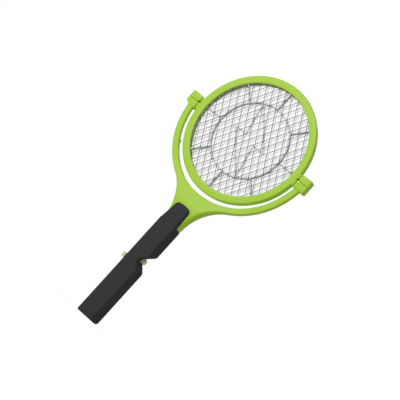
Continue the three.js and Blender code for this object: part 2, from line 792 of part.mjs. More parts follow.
function makeSlideSwitch() {
  const [proud, width, length] = knobSize;
  const face = -handleHalfWidth - seam;
  const low = knobHeight - length / 2;
  const high = knobHeight + length / 2;
  const knob = polygon([
    [face, low],
    [face, high],
    [face - proud + knobCorner, high],
    [face - proud, high - knobCorner],
    [face - proud, low + knobCorner],
    [face - proud + knobCorner, low],
  ]);
  const grip = solidOf(plate(knob, knobY - width / 2, knobY + width / 2));
  const half = knobStem / 2;
  const stemEnd = -handleHalfWidth + wall + seam;
  const stem = block(face - 1, stemEnd, knobY - half, knobY + half, knobHeight - half, knobHeight + half);
  addPiece("slide_knob", grip.add(stem), paleLime);
  const bodyFace = stemEnd + seam;
  const [depth, breadth, below, above] = slideSwitchSize;
  const body = block(bodyFace, bodyFace + depth, knobY - breadth / 2, knobY + breadth / 2,
    knobHeight - below, knobHeight + above);
  addPiece("power_switch_body", body, steel);
}

// Batteries, their contacts and the door over them
function makeCell(name, low) {
  const shoulder = cellLength - cellShoulder;
  const jacket = rodAlongZ(cellRadius, cellX, cellY, low, low + shoulder, 24);
  const nub = rodAlongZ(2.6, cellX, cellY, low + shoulder - 0.5, low + cellLength, 12);
  addPiece(name, jacket.add(nub), cellJacket);
}

function makeBatteries() {
  makeCell("battery_lower", cellLow);
  makeCell("battery_upper", cellLow + cellLength + seam);
  const points = [];
  const steps = springTurns * 10;
  for (let step = 0; step <= steps; step += 1) {
    const angle = (step / 10) * 2 * Math.PI;
    const share = step / steps;
    const radius = springRadii[0] + (springRadii[1] - springRadii[0]) * share;
    const height = wall + 2 * springWire + share * (springHeight - 4 * springWire);
    points.push(new THREE.Vector3(cellX + radius * Math.cos(angle), cellY + radius * Math.sin(angle), height));
  }
  const coil = new THREE.CatmullRomCurve3(points, false, "centripetal");
  addPiece("battery_spring", sweep(coil, springWire, steps, 4), steel);
  const plateLow = cellTop + seam / 2;
  const half = contactPlateSize / 2;
  const contact = block(cellX - half, cellX + half, cellY - half, cellY + half, plateLow, plateLow + leafThickness);
  addPiece("battery_contact_plate", contact, brass);
}

function makeDoor() {
  const front = handleBack - wall + seam;
  const cover = block(-doorHalfWidth, doorHalfWidth, front, handleBack, doorLow + seam, doorHigh - seam);
  const [tabWidth, tabThickness, tabReach] = doorTab;
  const tabs = [-1, 1].map((side) => {
    const x = side * tabX;
    const back = handleBack - wall - seam;
    const low = doorLow - tabReach + seam;
    const foot = block(x - tabWidth / 2, x + tabWidth / 2, back - tabThickness, back, low, doorLow + 4);
    const link = block(x - tabWidth / 2, x + tabWidth / 2, back - tabThickness, front + 0.5, doorLow + 1, doorLow + 4);
    return foot.add(link);
  });
  addPiece("battery_door", joined([cover, ...tabs]), black);
}

// Circuit board and what is soldered to it
function straightWire(name, x, y, low, high, material) {
  const route = new THREE.LineCurve3(new THREE.Vector3(x, y, low), new THREE.Vector3(x, y, high));
  addPiece(name, sweep(route, wireRadius, 1, 6), material);
}

function makeElectronics() {
  const up = (heights) => heights.map((height) => boardLow + height);
  const face = boardPlane - seam;
  const board = block(-boardHalfWidth, boardHalfWidth, boardPlane, boardPlane + boardThickness, boardLow, boardHigh);
  addPiece("circuit_board", board, boardGreen);
  const { x: coreX, depth, z: coreZ } = transformerSize;
  addPiece("transformer", block(...coreX, face - depth, face, ...up(coreZ)), ferrite);
  const { radius: canRadius, x: canX, z: canZ } = capacitorSize;
  addPiece("reservoir_capacitor", rodAlongZ(canRadius, canX, face - canRadius, ...up(canZ), 16), redWire);
  const { radius: chipRadius, x: chipX, depth: chipDepth, z: chipZ } = transistorSize;
  addPiece("transistor", rodAlongY(chipRadius, chipX, face - chipDepth, face, boardLow + chipZ, 12), ferrite);
  const { radius: diodeRadius, x: diodeX, z: diodeZ } = diodeSize;
  addPiece("rectifier_diode", rodAlongX(diodeRadius, ...diodeX, face - diodeRadius, boardLow + diodeZ, 10), ferrite);
  const { radius: tubeRadius, x: tubeX, z: tubeZ } = resistorSize;
  addPiece("bleed_resistor", rodAlongX(tubeRadius, ...tubeX, face - tubeRadius, boardLow + tubeZ, 10), paleGrey);
  const landing = boardLow + wireLanding;
  const behindBoard = boardPlane + boardThickness + wireRadius + 2 * seam + 0.5;
  const frontLane = handleFront + wall + wireRadius + seam + 0.1;
  straightWire("battery_lead_positive", cellX, behindBoard, cellTop + 4 * seam, landing, redWire);
  straightWire("battery_lead_negative", negativeWireX, frontLane, wall + 1, landing, ferrite);
}

makeHandle();
makeYoke();
makeBearings();
makeRing();
makeGrids();
makePins();
makeTrigger();
makeSlideSwitch();
makeBatteries();
makeDoor();
makeElectronics();

export default racket;
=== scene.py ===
"""Looks of an electric insect racket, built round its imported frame.

The frame is in metres, +Z up the handle and the front towards -Y. Sizes below are in millimetres
unless they say otherwise, and MM turns them into metres.
"""
import json
import math

import bmesh
import bpy
import numpy as np
from mathutils import Matrix, Vector


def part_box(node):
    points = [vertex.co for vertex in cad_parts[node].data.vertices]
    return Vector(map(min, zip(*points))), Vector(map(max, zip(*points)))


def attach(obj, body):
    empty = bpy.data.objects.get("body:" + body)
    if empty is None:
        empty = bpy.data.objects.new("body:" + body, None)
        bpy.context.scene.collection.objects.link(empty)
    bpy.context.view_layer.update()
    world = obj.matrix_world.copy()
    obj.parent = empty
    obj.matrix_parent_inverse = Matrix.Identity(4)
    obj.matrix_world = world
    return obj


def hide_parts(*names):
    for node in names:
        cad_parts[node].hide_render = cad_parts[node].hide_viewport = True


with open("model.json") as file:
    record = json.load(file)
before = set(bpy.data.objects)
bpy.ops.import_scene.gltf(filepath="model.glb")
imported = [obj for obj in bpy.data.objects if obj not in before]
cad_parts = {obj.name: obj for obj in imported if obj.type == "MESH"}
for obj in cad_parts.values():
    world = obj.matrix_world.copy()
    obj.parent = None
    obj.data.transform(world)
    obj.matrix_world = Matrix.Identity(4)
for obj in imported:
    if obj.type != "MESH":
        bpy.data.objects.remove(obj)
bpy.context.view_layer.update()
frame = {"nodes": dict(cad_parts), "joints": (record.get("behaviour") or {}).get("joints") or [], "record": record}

MM = 0.001

# ---------------------------------------------------------------- sizes taken from the frame


def box_mm(*nodes):
    """The lowest and highest corner of one or more nodes together."""
    lows, highs = zip(*(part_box(node) for node in nodes))
    low = [min(corner[axis] for corner in lows) / MM for axis in range(3)]
    high = [max(corner[axis] for corner in highs) / MM for axis in range(3)]
    return low, high


RING_LOW, RING_HIGH = box_mm("ring_front", "ring_back")
YOKE_LOW, _ = box_mm("yoke_front", "yoke_back")
HANDLE_LOW, HANDLE_HIGH = box_mm("handle_front_shell", "handle_back_shell")
BACK_SHELL_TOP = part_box("handle_back_shell")[1].z / MM
_, GUARD_HIGH = box_mm("guard_front")
CAP_LOW, CAP_HIGH = box_mm("pivot_cap_right")
AXIS_Z = next(j for j in frame["joints"] if j["name"] == "head_tilt")["pos_m"][2] / MM
SEAM = 0.3

# The head's ring and its pins' ears
RING_RADIUS = (RING_HIGH[2] - RING_LOW[2]) / 2
RING_BAND = 11.8
RING_INNER = RING_RADIUS - RING_BAND
RING_SCREW_RADIUS = RING_RADIUS - 4.4
CHANNEL_REACH, CHANNEL_FLOOR = 5.2, 2
SLOT_BELOW, SLOT_ABOVE = 0.4, 2.6
PAST = 2
HEAD_Z = (RING_HIGH[2] + RING_LOW[2]) / 2
HEAD_Y = (RING_HIGH[1] + RING_LOW[1]) / 2
RING_FRONT, RING_BACK = RING_LOW[1], RING_HIGH[1]
BOSS_END = RING_HIGH[0]
BOSS_HALF_HEIGHT = 10.5
DISC_RADIUS = GUARD_HIGH[0]

# The yoke's arms and bearing blocks
HEAD_GAP = 6
YOKE_INNER = RING_RADIUS + HEAD_GAP
ARM_WIDTH = 10.4
YOKE_OUTER = YOKE_INNER + ARM_WIDTH
ARM_HALF_THICKNESS = 5
BLOCK_INNER, BLOCK_OUTER = CAP_LOW[0], CAP_HIGH[0]
BLOCK_FRONT, BLOCK_BACK = CAP_LOW[1], CAP_HIGH[1]
BLOCK_TOP = CAP_HIGH[2]
BLOCK_BOTTOM = 2 * AXIS_Z - BLOCK_TOP
BLOCK_EDGE = 1.1
PIN_RADIUS = 2.5
BORE_RADIUS = 2.6
SCREW_RECESS = 2.6
SCREW_FROM_END = 4.2
CAP_SEAM = 0.06
CAP_SCREW_Y = HEAD_Y + 3

# The controls, the neck and the ramp between neck and arms
TRIGGER_Z = sum(box[2] for box in box_mm("trigger_button")) / 2
KNOB_Z = sum(box[2] for box in box_mm("slide_knob")) / 2
NECK_ROOT = BACK_SHELL_TOP + SEAM
NECK_HALF = 17
NECK_FRONT = YOKE_LOW[1]
NECK_BACK = 9.5
RAMP_LOW, RAMP_HIGH = 213, 260
YOKE_DRAFT = 2.4

# Screws and the door's tabs
YOKE_SCREW_INSET, YOKE_SCREW_TURN = 3, 36
NECK_SCREW_X, NECK_SCREW_DROP = 14, 9
HANDLE_SCREWS = [(-8.5, 170), (8.5, 170), (-10.3, 122)]
SCREW_SINK, HANDLE_SCREW_SINK = 0.4, 3
DOOR_TAB_X = 7.8

# The handle's shells, the front one's tongue and the finger notch
HALF_WIDTH = HANDLE_HIGH[0]
HANDLE_FRONT, HANDLE_BACK = HANDLE_LOW[1], HANDLE_HIGH[1]
TIP_TOP = HANDLE_HIGH[2]
WALL = 2.2
FRONT_EDGE, BACK_EDGE, TOP_EDGE = 3.6, 5, 1.2
TIP_HALF_WIDTH, TIP_CORNER, TIP_CROWN = 14, 6.5, 1
BUTT_FRONT_EDGE, BUTT_BACK_EDGE = 2.2, 5.0
NOTCH_TOP, NOTCH_FLOOR, NOTCH_BOTTOM = 125, 112, 97
NOTCH_X, NOTCH_FLAT = 4.2, 3
NOTCH_LEAN, NOTCH_DEEPENING = 0.3, 0.16

# ---------------------------------------------------------------- camera, lights and floor

WHITE = (1, 1, 1, 1)
WORLD_STRENGTH = 0.34


def make_camera():
    """A long lens low on the racket's right, rolled so that the racket leans across the view."""
    towards_camera = Vector((0.485, -0.871, -0.0814)).normalized()
    right = Vector((0.674, 0.3127, 0.6695))
    right = (right - towards_camera * right.dot(towards_camera)).normalized()
    up = towards_camera.cross(right)
    distance, field, sensor = 2.7, 0.5782, 36
    head_height, head_right, head_up = 0.35, 0.0725, 0.0908
    head = Vector((0, RING_FRONT * MM, head_height))
    target = head - right * head_right - up * head_up
    data = bpy.data.cameras.new("camera")
    data.sensor_width = sensor
    data.lens = distance * sensor / field
    camera = bpy.data.objects.new("camera", data)
    bpy.context.scene.collection.objects.link(camera)
    turn = Matrix((right, up, towards_camera)).transposed().to_4x4()
    camera.matrix_world = Matrix.Translation(target + towards_camera * distance) @ turn
    bpy.context.scene.camera = camera


def add_lamp(name, place, size, power):
    """A square soft box that looks at the racket's middle."""
    aim = Vector((0, 0, 0.25))
    data = bpy.data.lights.new(name, "AREA")
    data.size = size
    data.energy = power
    lamp = bpy.data.objects.new(name, data)
    bpy.context.scene.collection.objects.link(lamp)
    lamp.location = place
    lamp.rotation_mode = "QUATERNION"
    lamp.rotation_quaternion = (aim - Vector(place)).to_track_quat("-Z", "Y")


def make_lights():
    add_lamp("key", (-0.75, -1.7, 1.0), 0.9, 19)
    add_lamp("back_fill", (-1.0, 1.4, 0.9), 1.2, 16)


class Value:
    """A node's output, so that shader maths reads as Python."""

    def __init__(self, graph, socket):
        self.graph = graph
        self.socket = socket

    def maths(self, operation, *operands):
        inputs = dict(enumerate(operands))
        return self.graph.node("ShaderNodeMath", {"operation": operation}, inputs)

    def __add__(self, other):
        return self.maths("ADD", self, other)

    def __sub__(self, other):
        return self.maths("SUBTRACT", self, other)

    def __rsub__(self, other):
        return self.maths("SUBTRACT", other, self)

    def __mul__(self, other):
        return self.maths("MULTIPLY", self, other)

    def __truediv__(self, other):
        return self.maths("DIVIDE", self, other)

    def __rtruediv__(self, other):
        return self.maths("DIVIDE", other, self)

    def largest(self, other):
        return self.maths("MAXIMUM", self, other)

    __radd__ = __add__
    __rmul__ = __mul__


class Graph:
    """Adds nodes to a tree: node(type, settings, inputs) is the one way a node is made.

    Settings are set first. A list as an input links each of its values to that socket.
    """

    def __init__(self, tree):
        self.tree = tree
        tree.nodes.clear()

    def node(self, kind, settings=None, inputs=None, output=0):
        made = self.tree.nodes.new(kind)
        for key, setting in (settings or {}).items():
            setattr(made, key, setting)
        for key, given in (inputs or {}).items():
            for source in given if isinstance(given, list) else [given]:
                if isinstance(source, Value):
                    self.tree.links.new(source.socket, made.inputs[key])
                else:
                    made.inputs[key].default_value = source
        return Value(self, made.outputs[output]) if made.outputs else made

    def place(self):
        return self.node("ShaderNodeTexCoord", output="Object")

    def noise(self, scale, detail=2.0, at=None):
        inputs = {"Vector": at or self.place(), "Scale": scale, "Detail": detail}
        return self.node("ShaderNodeTexNoise", {}, inputs, output="Fac")

    def mix(self, share, first, second):
        """A blend of two colours, by the Mix node's colour sockets."""
        inputs = {0: share, 6: first, 7: second}
        return self.node("ShaderNodeMix", {"data_type": "RGBA"}, inputs, output=2)

    def bump(self, height):
        """A normal from a height in metres."""
        inputs = {"Height": height, "Distance": 1.0, "Strength": 1.0}
        return self.node("ShaderNodeBump", {}, inputs)

    def ray(self, kind):
        return self.node("ShaderNodeLightPath", output=f"Is {kind} Ray")


def show_white(graph, lit_strength):
    """White to the camera and in reflections, and plain soft light on everything else."""
    seen = graph.ray("Camera").largest(graph.ray("Glossy")).largest(graph.ray("Transmission"))
    return seen * (1 - lit_strength) + lit_strength


def make_world():
    world = bpy.data.worlds.new("studio")
    bpy.context.scene.world = world
    world.use_nodes = True
    graph = Graph(world.node_tree)
    strength = show_white(graph, WORLD_STRENGTH)
    back = graph.node("ShaderNodeBackground", {}, {"Color": WHITE, "Strength": strength})
    graph.node("ShaderNodeOutputWorld", {}, {"Surface": back})


def new_material(name):
    material = bpy.data.materials.new(name)
    material.use_nodes = True
    return material, Graph(material.node_tree)


def make_floor():
    """A pale floor that fades to the white surround but keeps the contact shadow."""
    radius, drop = 4, 0.0004
    paper_colour = (0.8, 0.8, 0.8, 1)
    fade_start, fade_end, least_white = 0.03, 0.3, 0.93
    place = (0, 0, -drop)
    bpy.ops.mesh.primitive_circle_add(
        vertices=96, radius=radius, fill_type="NGON", location=place
    )
    floor = bpy.context.object
    floor.name = "floor"
    material, graph = new_material("floor_paper")
    paper = graph.node("ShaderNodeBsdfDiffuse", {}, {"Color": paper_colour})
    white = graph.node("ShaderNodeEmission", {}, {"Color": WHITE, "Strength": 1.0})
    reach = graph.node(
        "ShaderNodeVectorMath", {"operation": "LENGTH"}, {0: graph.place()}, output="Value"
    )
    fade = graph.node(
        "ShaderNodeMapRange", {},
        {
            "Value": reach, "From Min": fade_start, "From Max": fade_end,
            "To Min": least_white, "To Max": 1.0,
        },
    )
    share = graph.ray("Camera") * fade
    surface = graph.node("ShaderNodeMixShader", {}, {0: share, 1: paper, 2: white})
    graph.node("ShaderNodeOutputMaterial", {}, {"Surface": surface})
    floor.data.materials.append(material)


# ---------------------------------------------------------------- materials


def principled(graph, inputs):
    shader = graph.node("ShaderNodeBsdfPrincipled", {}, inputs)
    graph.node("ShaderNodeOutputMaterial", {}, {"Surface": shader})


def plastic(name, colour, shade, roughness, grain, grain_depth, specular=0.5):
    """Moulded plastic: slow colour drift, fine spark-eroded grain, slightly uneven gloss."""
    drift_scale, wave_scale = 14, 45
    drift_gloss, grain_gloss = 0.08, 0.1
    material, graph = new_material(name)
    drift = graph.noise(drift_scale, 3)
    fine = graph.noise(grain, 2)
    waves = graph.noise(wave_scale, 1)
    inputs = {
        "Base Color": graph.mix(drift, (*shade, 1), (*colour, 1)),
        "Roughness": (fine - 0.5) * grain_gloss + (drift - 0.5) * drift_gloss + roughness,
        "Specular IOR Level": specular,
        "Normal": graph.bump(fine * grain_depth + waves * (grain_depth * 1.5)),
    }
    principled(graph, inputs)
    return material


def metal(name, colour, shade, roughness, streaks):
    """Bare or plated metal with fine streaks along the handle's direction."""
    streak_shape, streak_gloss, streak_depth = (1, 1, 0.15), 0.25, 0.00002
    stain_scale = 90
    material, graph = new_material(name)
    stretched = graph.node(
        "ShaderNodeMapping", {}, {"Vector": graph.place(), "Scale": streak_shape}
    )
    grain = graph.noise(streaks, 3, stretched)
    stain = graph.noise(stain_scale, 2)
    inputs = {
        "Base Color": graph.mix(stain, (*shade, 1), (*colour, 1)),
        "Metallic": 1.0,
        "Roughness": (grain - 0.5) * streak_gloss + roughness,
        "Normal": graph.bump(grain * streak_depth),
    }
    principled(graph, inputs)
    return material


def grey(level, warmth=0.0):
    return (level, level, level + warmth)


FINE, SHALLOW, DEEP = 1500, 0.00001, 0.00002
LIME = plastic(
    "lime_plastic", (0.425, 0.69, 0.034), (0.395, 0.655, 0.028), 0.42, FINE, DEEP, 0.3
)
BLACK = plastic(
    "black_plastic", grey(0.052, 0.002), grey(0.044, 0.0015), 0.7, 2200, 0.00005, 0.03
)
PALE_LIME = plastic(
    "pale_lime_plastic", (0.66, 0.8, 0.42), (0.62, 0.76, 0.38), 0.4, FINE, DEEP
)
SPACER = plastic("spacer_plastic", (0.72, 0.73, 0.72), (0.66, 0.67, 0.66), 0.5, FINE, DEEP)
MESH = metal("mesh_metal", grey(0.74, 0.01), grey(0.62, 0.01), 0.34, FINE)
GUARD = metal("guard_metal", grey(0.2, 0.005), grey(0.15, 0.005), 0.4, FINE)
STEEL = metal("screw_steel", grey(0.5, 0.01), grey(0.42, 0.01), 0.32, 1800)
FINISHES = {
    "lime_plastic": LIME,
    "black_plastic": BLACK,
    "pale_lime_plastic": PALE_LIME,
    "spacer_plastic": SPACER,
    "mesh_metal": MESH,
    "screw_steel": STEEL,
    "brass": metal("brass", (0.72, 0.53, 0.23), (0.6, 0.43, 0.18), 0.3, FINE),
    "circuit_board": plastic(
        "circuit_board", (0.03, 0.14, 0.05), (0.02, 0.10, 0.04), 0.5, 900, DEEP
    ),
    "cell_jacket": plastic(
        "cell_jacket", (0.27, 0.3, 0.33), (0.24, 0.27, 0.3), 0.35, 700, SHALLOW
    ),
    "component_black": plastic(
        "component_black", grey(0.02), grey(0.015), 0.5, 1200, 0.00003
    ),
    "component_red": plastic(
        "component_red", (0.45, 0.04, 0.03), (0.38, 0.03, 0.02), 0.4, 1200, SHALLOW
    ),
    "component_pale": plastic(
        "component_pale", (0.6, 0.56, 0.45), (0.52, 0.48, 0.38), 0.45, 1200, DEEP
    ),
}
SLOT_OF = {finish.name: slot for slot, finish in FINISHES.items()}
SLOT_OF[GUARD.name] = "mesh_metal"

# ---------------------------------------------------------------- mesh making

DOUBLE_POINT = 0.004
CUT_DOUBLE_POINT = 0.003
TINY_EDGE = 0.002
PINHOLE_SIDES = 8
LEAST_CORNER = 0.03
SMOOTH_BELOW = math.radians(32)


def link(name, mesh):
    piece = bpy.data.objects.new(name, mesh)
    bpy.context.scene.collection.objects.link(piece)
    return piece


def solid(name, points, faces):
    """A closed mesh from points in millimetres, its doubles merged and its normals outwards."""
    mesh = bpy.data.meshes.new(name)
    mesh.from_pydata((np.asarray(points, float) * MM).tolist(), [], faces)
    form = bmesh.new()
    form.from_mesh(mesh)
    bmesh.ops.remove_doubles(form, verts=form.verts, dist=DOUBLE_POINT * MM)
    bmesh.ops.dissolve_degenerate(form, edges=form.edges, dist=TINY_EDGE * MM)
    bmesh.ops.recalc_face_normals(form, faces=form.faces)
    form.to_mesh(mesh)
    form.free()
    return link(name, mesh)


def stacked(name, loops):
    """Loops of equally many points, joined in order and capped at both ends."""
    count = len(loops[0])
    points = np.concatenate([np.asarray(loop, float) for loop in loops])
    faces = []
    for row in range(len(loops) - 1):
        for column in range(count):
            after = (column + 1) % count
            low, high = row * count, (row + 1) * count
            faces.append((low + column, low + after, high + after, high + column))
    faces.append(tuple(range(count)))
    faces.append(tuple((len(loops) - 1) * count + column for column in reversed(range(count))))
    return solid(name, points, faces)


def bake_modifiers(piece):
    """Turns what the modifiers make into the piece's own plain mesh."""
    bpy.context.view_layer.update()
    graph = bpy.context.evaluated_depsgraph_get()
    mesh = bpy.data.meshes.new_from_object(piece.evaluated_get(graph))
    piece.modifiers.clear()
    old = piece.data
    piece.data = mesh
    bpy.data.meshes.remove(old)
    return piece


def combine(piece, tool, operation):
    """Cuts or joins a tool, which is used up."""
    modifier = piece.modifiers.new(operation, "BOOLEAN")
    modifier.object = tool
    modifier.operation = operation
    modifier.solver = "EXACT"
    bake_modifiers(piece)
    bpy.data.objects.remove(tool)


def cut(piece, *tools):
    for tool in tools:
        combine(piece, tool, "DIFFERENCE")


def join(piece, *tools):
    for tool in tools:
        combine(piece, tool, "UNION")


def open_edges(form):
    return sum(1 for edge in form.edges if not edge.is_manifold)


def close_small_holes(form):
    gaps = [edge for edge in form.edges if edge.is_boundary]
    if gaps:
        bmesh.ops.holes_fill(form, edges=gaps, sides=PINHOLE_SIDES)
        bmesh.ops.recalc_face_normals(form, faces=form.faces)


def tidy(piece):
    """Merges the double points that cuts leave, unless that opens the mesh, and fills pinholes."""
    form = bmesh.new()
    form.from_mesh(piece.data)
    before = open_edges(form)
    bmesh.ops.remove_doubles(form, verts=form.verts, dist=CUT_DOUBLE_POINT * MM)
    bmesh.ops.dissolve_degenerate(form, edges=form.edges, dist=TINY_EDGE * MM)
    if open_edges(form) > before:
        form.clear()
        form.from_mesh(piece.data)
    close_small_holes(form)
    form.to_mesh(piece.data)
    form.free()


def dress(piece, body, material, replaced):
    """Gives a finished piece its shading, material, body and the nodes it stands for."""
    piece.data.name = piece.name
    piece.data.materials.clear()
    piece.data.materials.append(material)
    piece.data.shade_smooth()
    piece.data.set_sharp_from_angle(angle=SMOOTH_BELOW)
    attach(piece, body)
    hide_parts(*replaced)


def arc(cx, cy, radius, start, end, steps):
    angles = np.radians(np.linspace(start, end, steps + 1))
    return [(cx + radius * math.cos(a), cy + radius * math.sin(a)) for a in angles]


def signed_area(outline):
    points = np.asarray(outline)
    ahead = np.roll(points, -1, 0)
    return float((points[:, 0] * ahead[:, 1] - ahead[:, 0] * points[:, 1]).sum() / 2)


def inset(outline, distance):
    """Moves an anticlockwise outline inwards by a distance."""
    points = np.asarray(outline, float)
    before = points - np.roll(points, 1, 0)
    after = np.roll(points, -1, 0) - points
    before /= np.linalg.norm(before, axis=1)[:, None]
    after /= np.linalg.norm(after, axis=1)[:, None]
    first = np.column_stack((-before[:, 1], before[:, 0]))
    second = np.column_stack((-after[:, 1], after[:, 0]))
    mitre = (first + second) / (1 + (first * second).sum(1))[:, None]
    return points + mitre * distance


def rounded(corners, radii):
    """An anticlockwise outline with its corners rounded."""
    steps = 5
    outline = []
    count = len(corners)
    for index, (corner, radius) in enumerate(zip(corners, radii)):
        here = np.asarray(corner, float)
        back = np.asarray(corners[index - 1], float) - here
        on = np.asarray(corners[(index + 1) % count], float) - here
        back /= np.linalg.norm(back)
        on /= np.linalg.norm(on)
        half = math.acos(max(-1, min(1, float(back @ on)))) / 2
        reach = radius / math.tan(half)
        centre = here + (back + on) / np.linalg.norm(back + on) * radius / math.sin(half)
        start, end = here + back * reach - centre, here + on * reach - centre
        first = math.atan2(start[1], start[0])
        sweep = (math.atan2(end[1], end[0]) - first + math.pi) % (2 * math.pi) - math.pi
        for step in range(steps + 1):
            angle = first + sweep * step / steps
            outline.append(tuple(centre + radius * np.array((math.cos(angle), math.sin(angle)))))
    return outline


def quarter_turn(steps):
    return [math.pi / 2 * step / steps for step in range(steps + 1)]


def edge_levels(front, back, front_edge, back_edge, steps):
    """Pairs of (inset, y) that round a plate's edges, from its front to its back."""
    bends = quarter_turn(steps)[:-1]
    levels = [(0, front + front_edge), (0, back - back_edge)]
    if front_edge:
        rise = [(1 - math.sin(bend), 1 - math.cos(bend)) for bend in bends]
        levels = [(front_edge * a, front + front_edge * b) for a, b in rise] + levels
    if back_edge:
        fall = [(1 - math.sin(bend), 1 - math.cos(bend)) for bend in reversed(bends)]
        levels += [(back_edge * a, back - back_edge * b) for a, b in fall]
    return levels


def loop_at(outline, y):
    outline = np.asarray(outline, float)
    return np.column_stack((outline[:, 0], np.full(len(outline), y), outline[:, 1]))


def plate(name, outline, front, back, front_edge=0.0, back_edge=0.0, steps=4):
    """An outline in X and Z, thick in Y, with its front and back edges rounded."""
    loops = []
    for distance, y in edge_levels(front, back, front_edge, back_edge, steps):
        loops.append(loop_at(inset(outline, distance) if distance > 0 else outline, y))
    return stacked(name, loops)


def rounded_plate(name, corners, radii, front, back, front_edge=0.0, back_edge=0.0):
    """A convex plate from its sharp corners, whose corners and edges are both rounded."""
    if signed_area(corners) < 0:
        corners, radii = corners[::-1], radii[::-1]
    loops = []
    for distance, y in edge_levels(front, back, front_edge, back_edge, 4):
        ring = inset(corners, distance) if distance > 0 else corners
        ring = rounded(ring, [max(radius - distance, LEAST_CORNER) for radius in radii])
        loops.append(loop_at(ring, y))
    return stacked(name, loops)


def slab(name, x, y, z, corner=0.0, edge=0.0):
    """A block between pairs of limits, with rounded corners and edges."""
    corners = [(x[0], z[0]), (x[1], z[0]), (x[1], z[1]), (x[0], z[1])]
    if corner or edge:
        return rounded_plate(name, corners, [corner] * 4, y[0], y[1], edge, edge)
    return plate(name, corners, y[0], y[1])


def circle_across(along, hint, radius, sides):
    """A circle's points about the origin, square to a direction."""
    side = np.cross(along, hint)
    side /= np.linalg.norm(side)
    other = np.cross(along, side)
    angles = np.linspace(0, 2 * math.pi, sides, endpoint=False)
    return radius * (np.outer(np.cos(angles), side) + np.outer(np.sin(angles), other))


def rod(name, start, end, radius, sides=40):
    """A round bar between two points."""
    start, end = np.asarray(start, float), np.asarray(end, float)
    along = (end - start) / np.linalg.norm(end - start)
    hint = (0, 0, 1) if abs(along[2]) < 0.9 else (1, 0, 0)
    ring = circle_across(along, hint, radius, sides)
    return stacked(name, [start + ring, end + ring])


def tube(name, points, radius):
    """A round bar along a list of points."""
    points = np.asarray(points, float)
    loops = []
    for index, point in enumerate(points):
        ahead = points[min(index + 1, len(points) - 1)] - points[max(index - 1, 0)]
        ahead /= np.linalg.norm(ahead)
        loops.append(point + circle_across(ahead, (0, 1, 0), radius, 8))
    return stacked(name, loops)


def turned(name, profile, segments=192):
    """A closed profile of (radius, y) turned about the head's own axis."""
    profile = np.asarray(profile, float)
    rows = len(profile)
    points, faces = [], []
    for segment in range(segments):
        angle = 2 * math.pi * segment / segments
        for radius, y in profile:
            points.append((radius * math.cos(angle), y, HEAD_Z + radius * math.sin(angle)))
    for segment in range(segments):
        ahead = (segment + 1) % segments
        for row in range(rows):
            above = (row + 1) % rows
            here, there = segment * rows, ahead * rows
            faces.append((here + row, there + row, there + above, here + above))
    return solid(name, points, faces)


# ---------------------------------------------------------------- head ring



def on_head_circle(radius, degrees):
    turn = math.radians(degrees)
    return radius * math.cos(turn), HEAD_Z + radius * math.sin(turn)


RING_SCREWS = [on_head_circle(RING_SCREW_RADIUS, angle) for angle in range(30, 360, 60)]


def side_name(towards):
    return "front" if towards < 0 else "back"


def split_y(towards):
    """Y of a half's flat side, at the seam."""
    return HEAD_Y + towards * SEAM / 2


def ring_profile(towards):
    """One half's section: a nearly flat face, a soft outer edge, an open channel for the grids."""
    face = HEAD_Y + towards * (RING_BACK - RING_FRONT) / 2
    split = split_y(towards)
    lip, lip_sink = 0.8, 0.2
    crown_start, crown_sink, crown = 2.6, 0.06, 4
    wide, deep, chamfer, at_split = 1.8, 2.6, 0.25, 0.8
    draft = 0.0 if towards < 0 else 1.0
    floor = face - towards * CHANNEL_FLOOR
    profile = [(RING_INNER, floor), (RING_INNER, face - towards * (lip + 2 * lip_sink))]
    for turn in np.radians(range(0, 91, 15)):
        drop = lip * (1 - math.sin(turn)) + lip_sink
        profile.append((RING_INNER + lip * (1 - math.cos(turn)), face - towards * drop))
    profile.append((RING_INNER + crown_start, face - towards * crown_sink))
    profile.append((RING_INNER + crown, face))
    for turn in np.radians(range(0, 91, 9)):
        out = RING_RADIUS - draft - wide * (1 - math.sin(turn))
        profile.append((out, face - towards * deep * (1 - math.cos(turn))))
    edge = RING_RADIUS - at_split
    profile += [(edge, split + towards * chamfer), (edge - chamfer, split)]
    profile += [(RING_INNER + CHANNEL_REACH, split), (RING_INNER + CHANNEL_REACH, floor)]
    return profile


def half_plate(name, corners, radii, face, towards, edge):
    """A plate from the seam to a half's face, rounded at the face only."""
    split = split_y(towards)
    edges = (edge, 0.0) if towards < 0 else (0.0, edge)
    return rounded_plate(name, corners, radii, min(face, split), max(face, split), *edges)


def ring_boss(side, towards):
    """The ear that holds a trunnion pin."""
    proud, overlap, corner, edge = 0.5, 2.6, 1.2, 1.0
    face = HEAD_Y + towards * (ARM_HALF_THICKNESS + proud)
    inner, outer = side * (RING_RADIUS - overlap), side * BOSS_END
    low, high = AXIS_Z - BOSS_HALF_HEIGHT, AXIS_Z + BOSS_HALF_HEIGHT
    corners = [(inner, low), (outer, low), (outer, high), (inner, high)]
    radii = [LEAST_CORNER, corner, corner, LEAST_CORNER]
    return half_plate("boss", corners, radii, face, towards, edge)


def along_y(name, place, start, end, radius, sides):
    """A round bar through a place in X and Z."""
    x, z = place
    return rod(name, (x, start, z), (x, end, z), radius, sides)


def along_x(name, start, end, radius):
    """A round bar on the tilt axis."""
    return rod(name, (start, HEAD_Y, AXIS_Z), (end, HEAD_Y, AXIS_Z), radius)


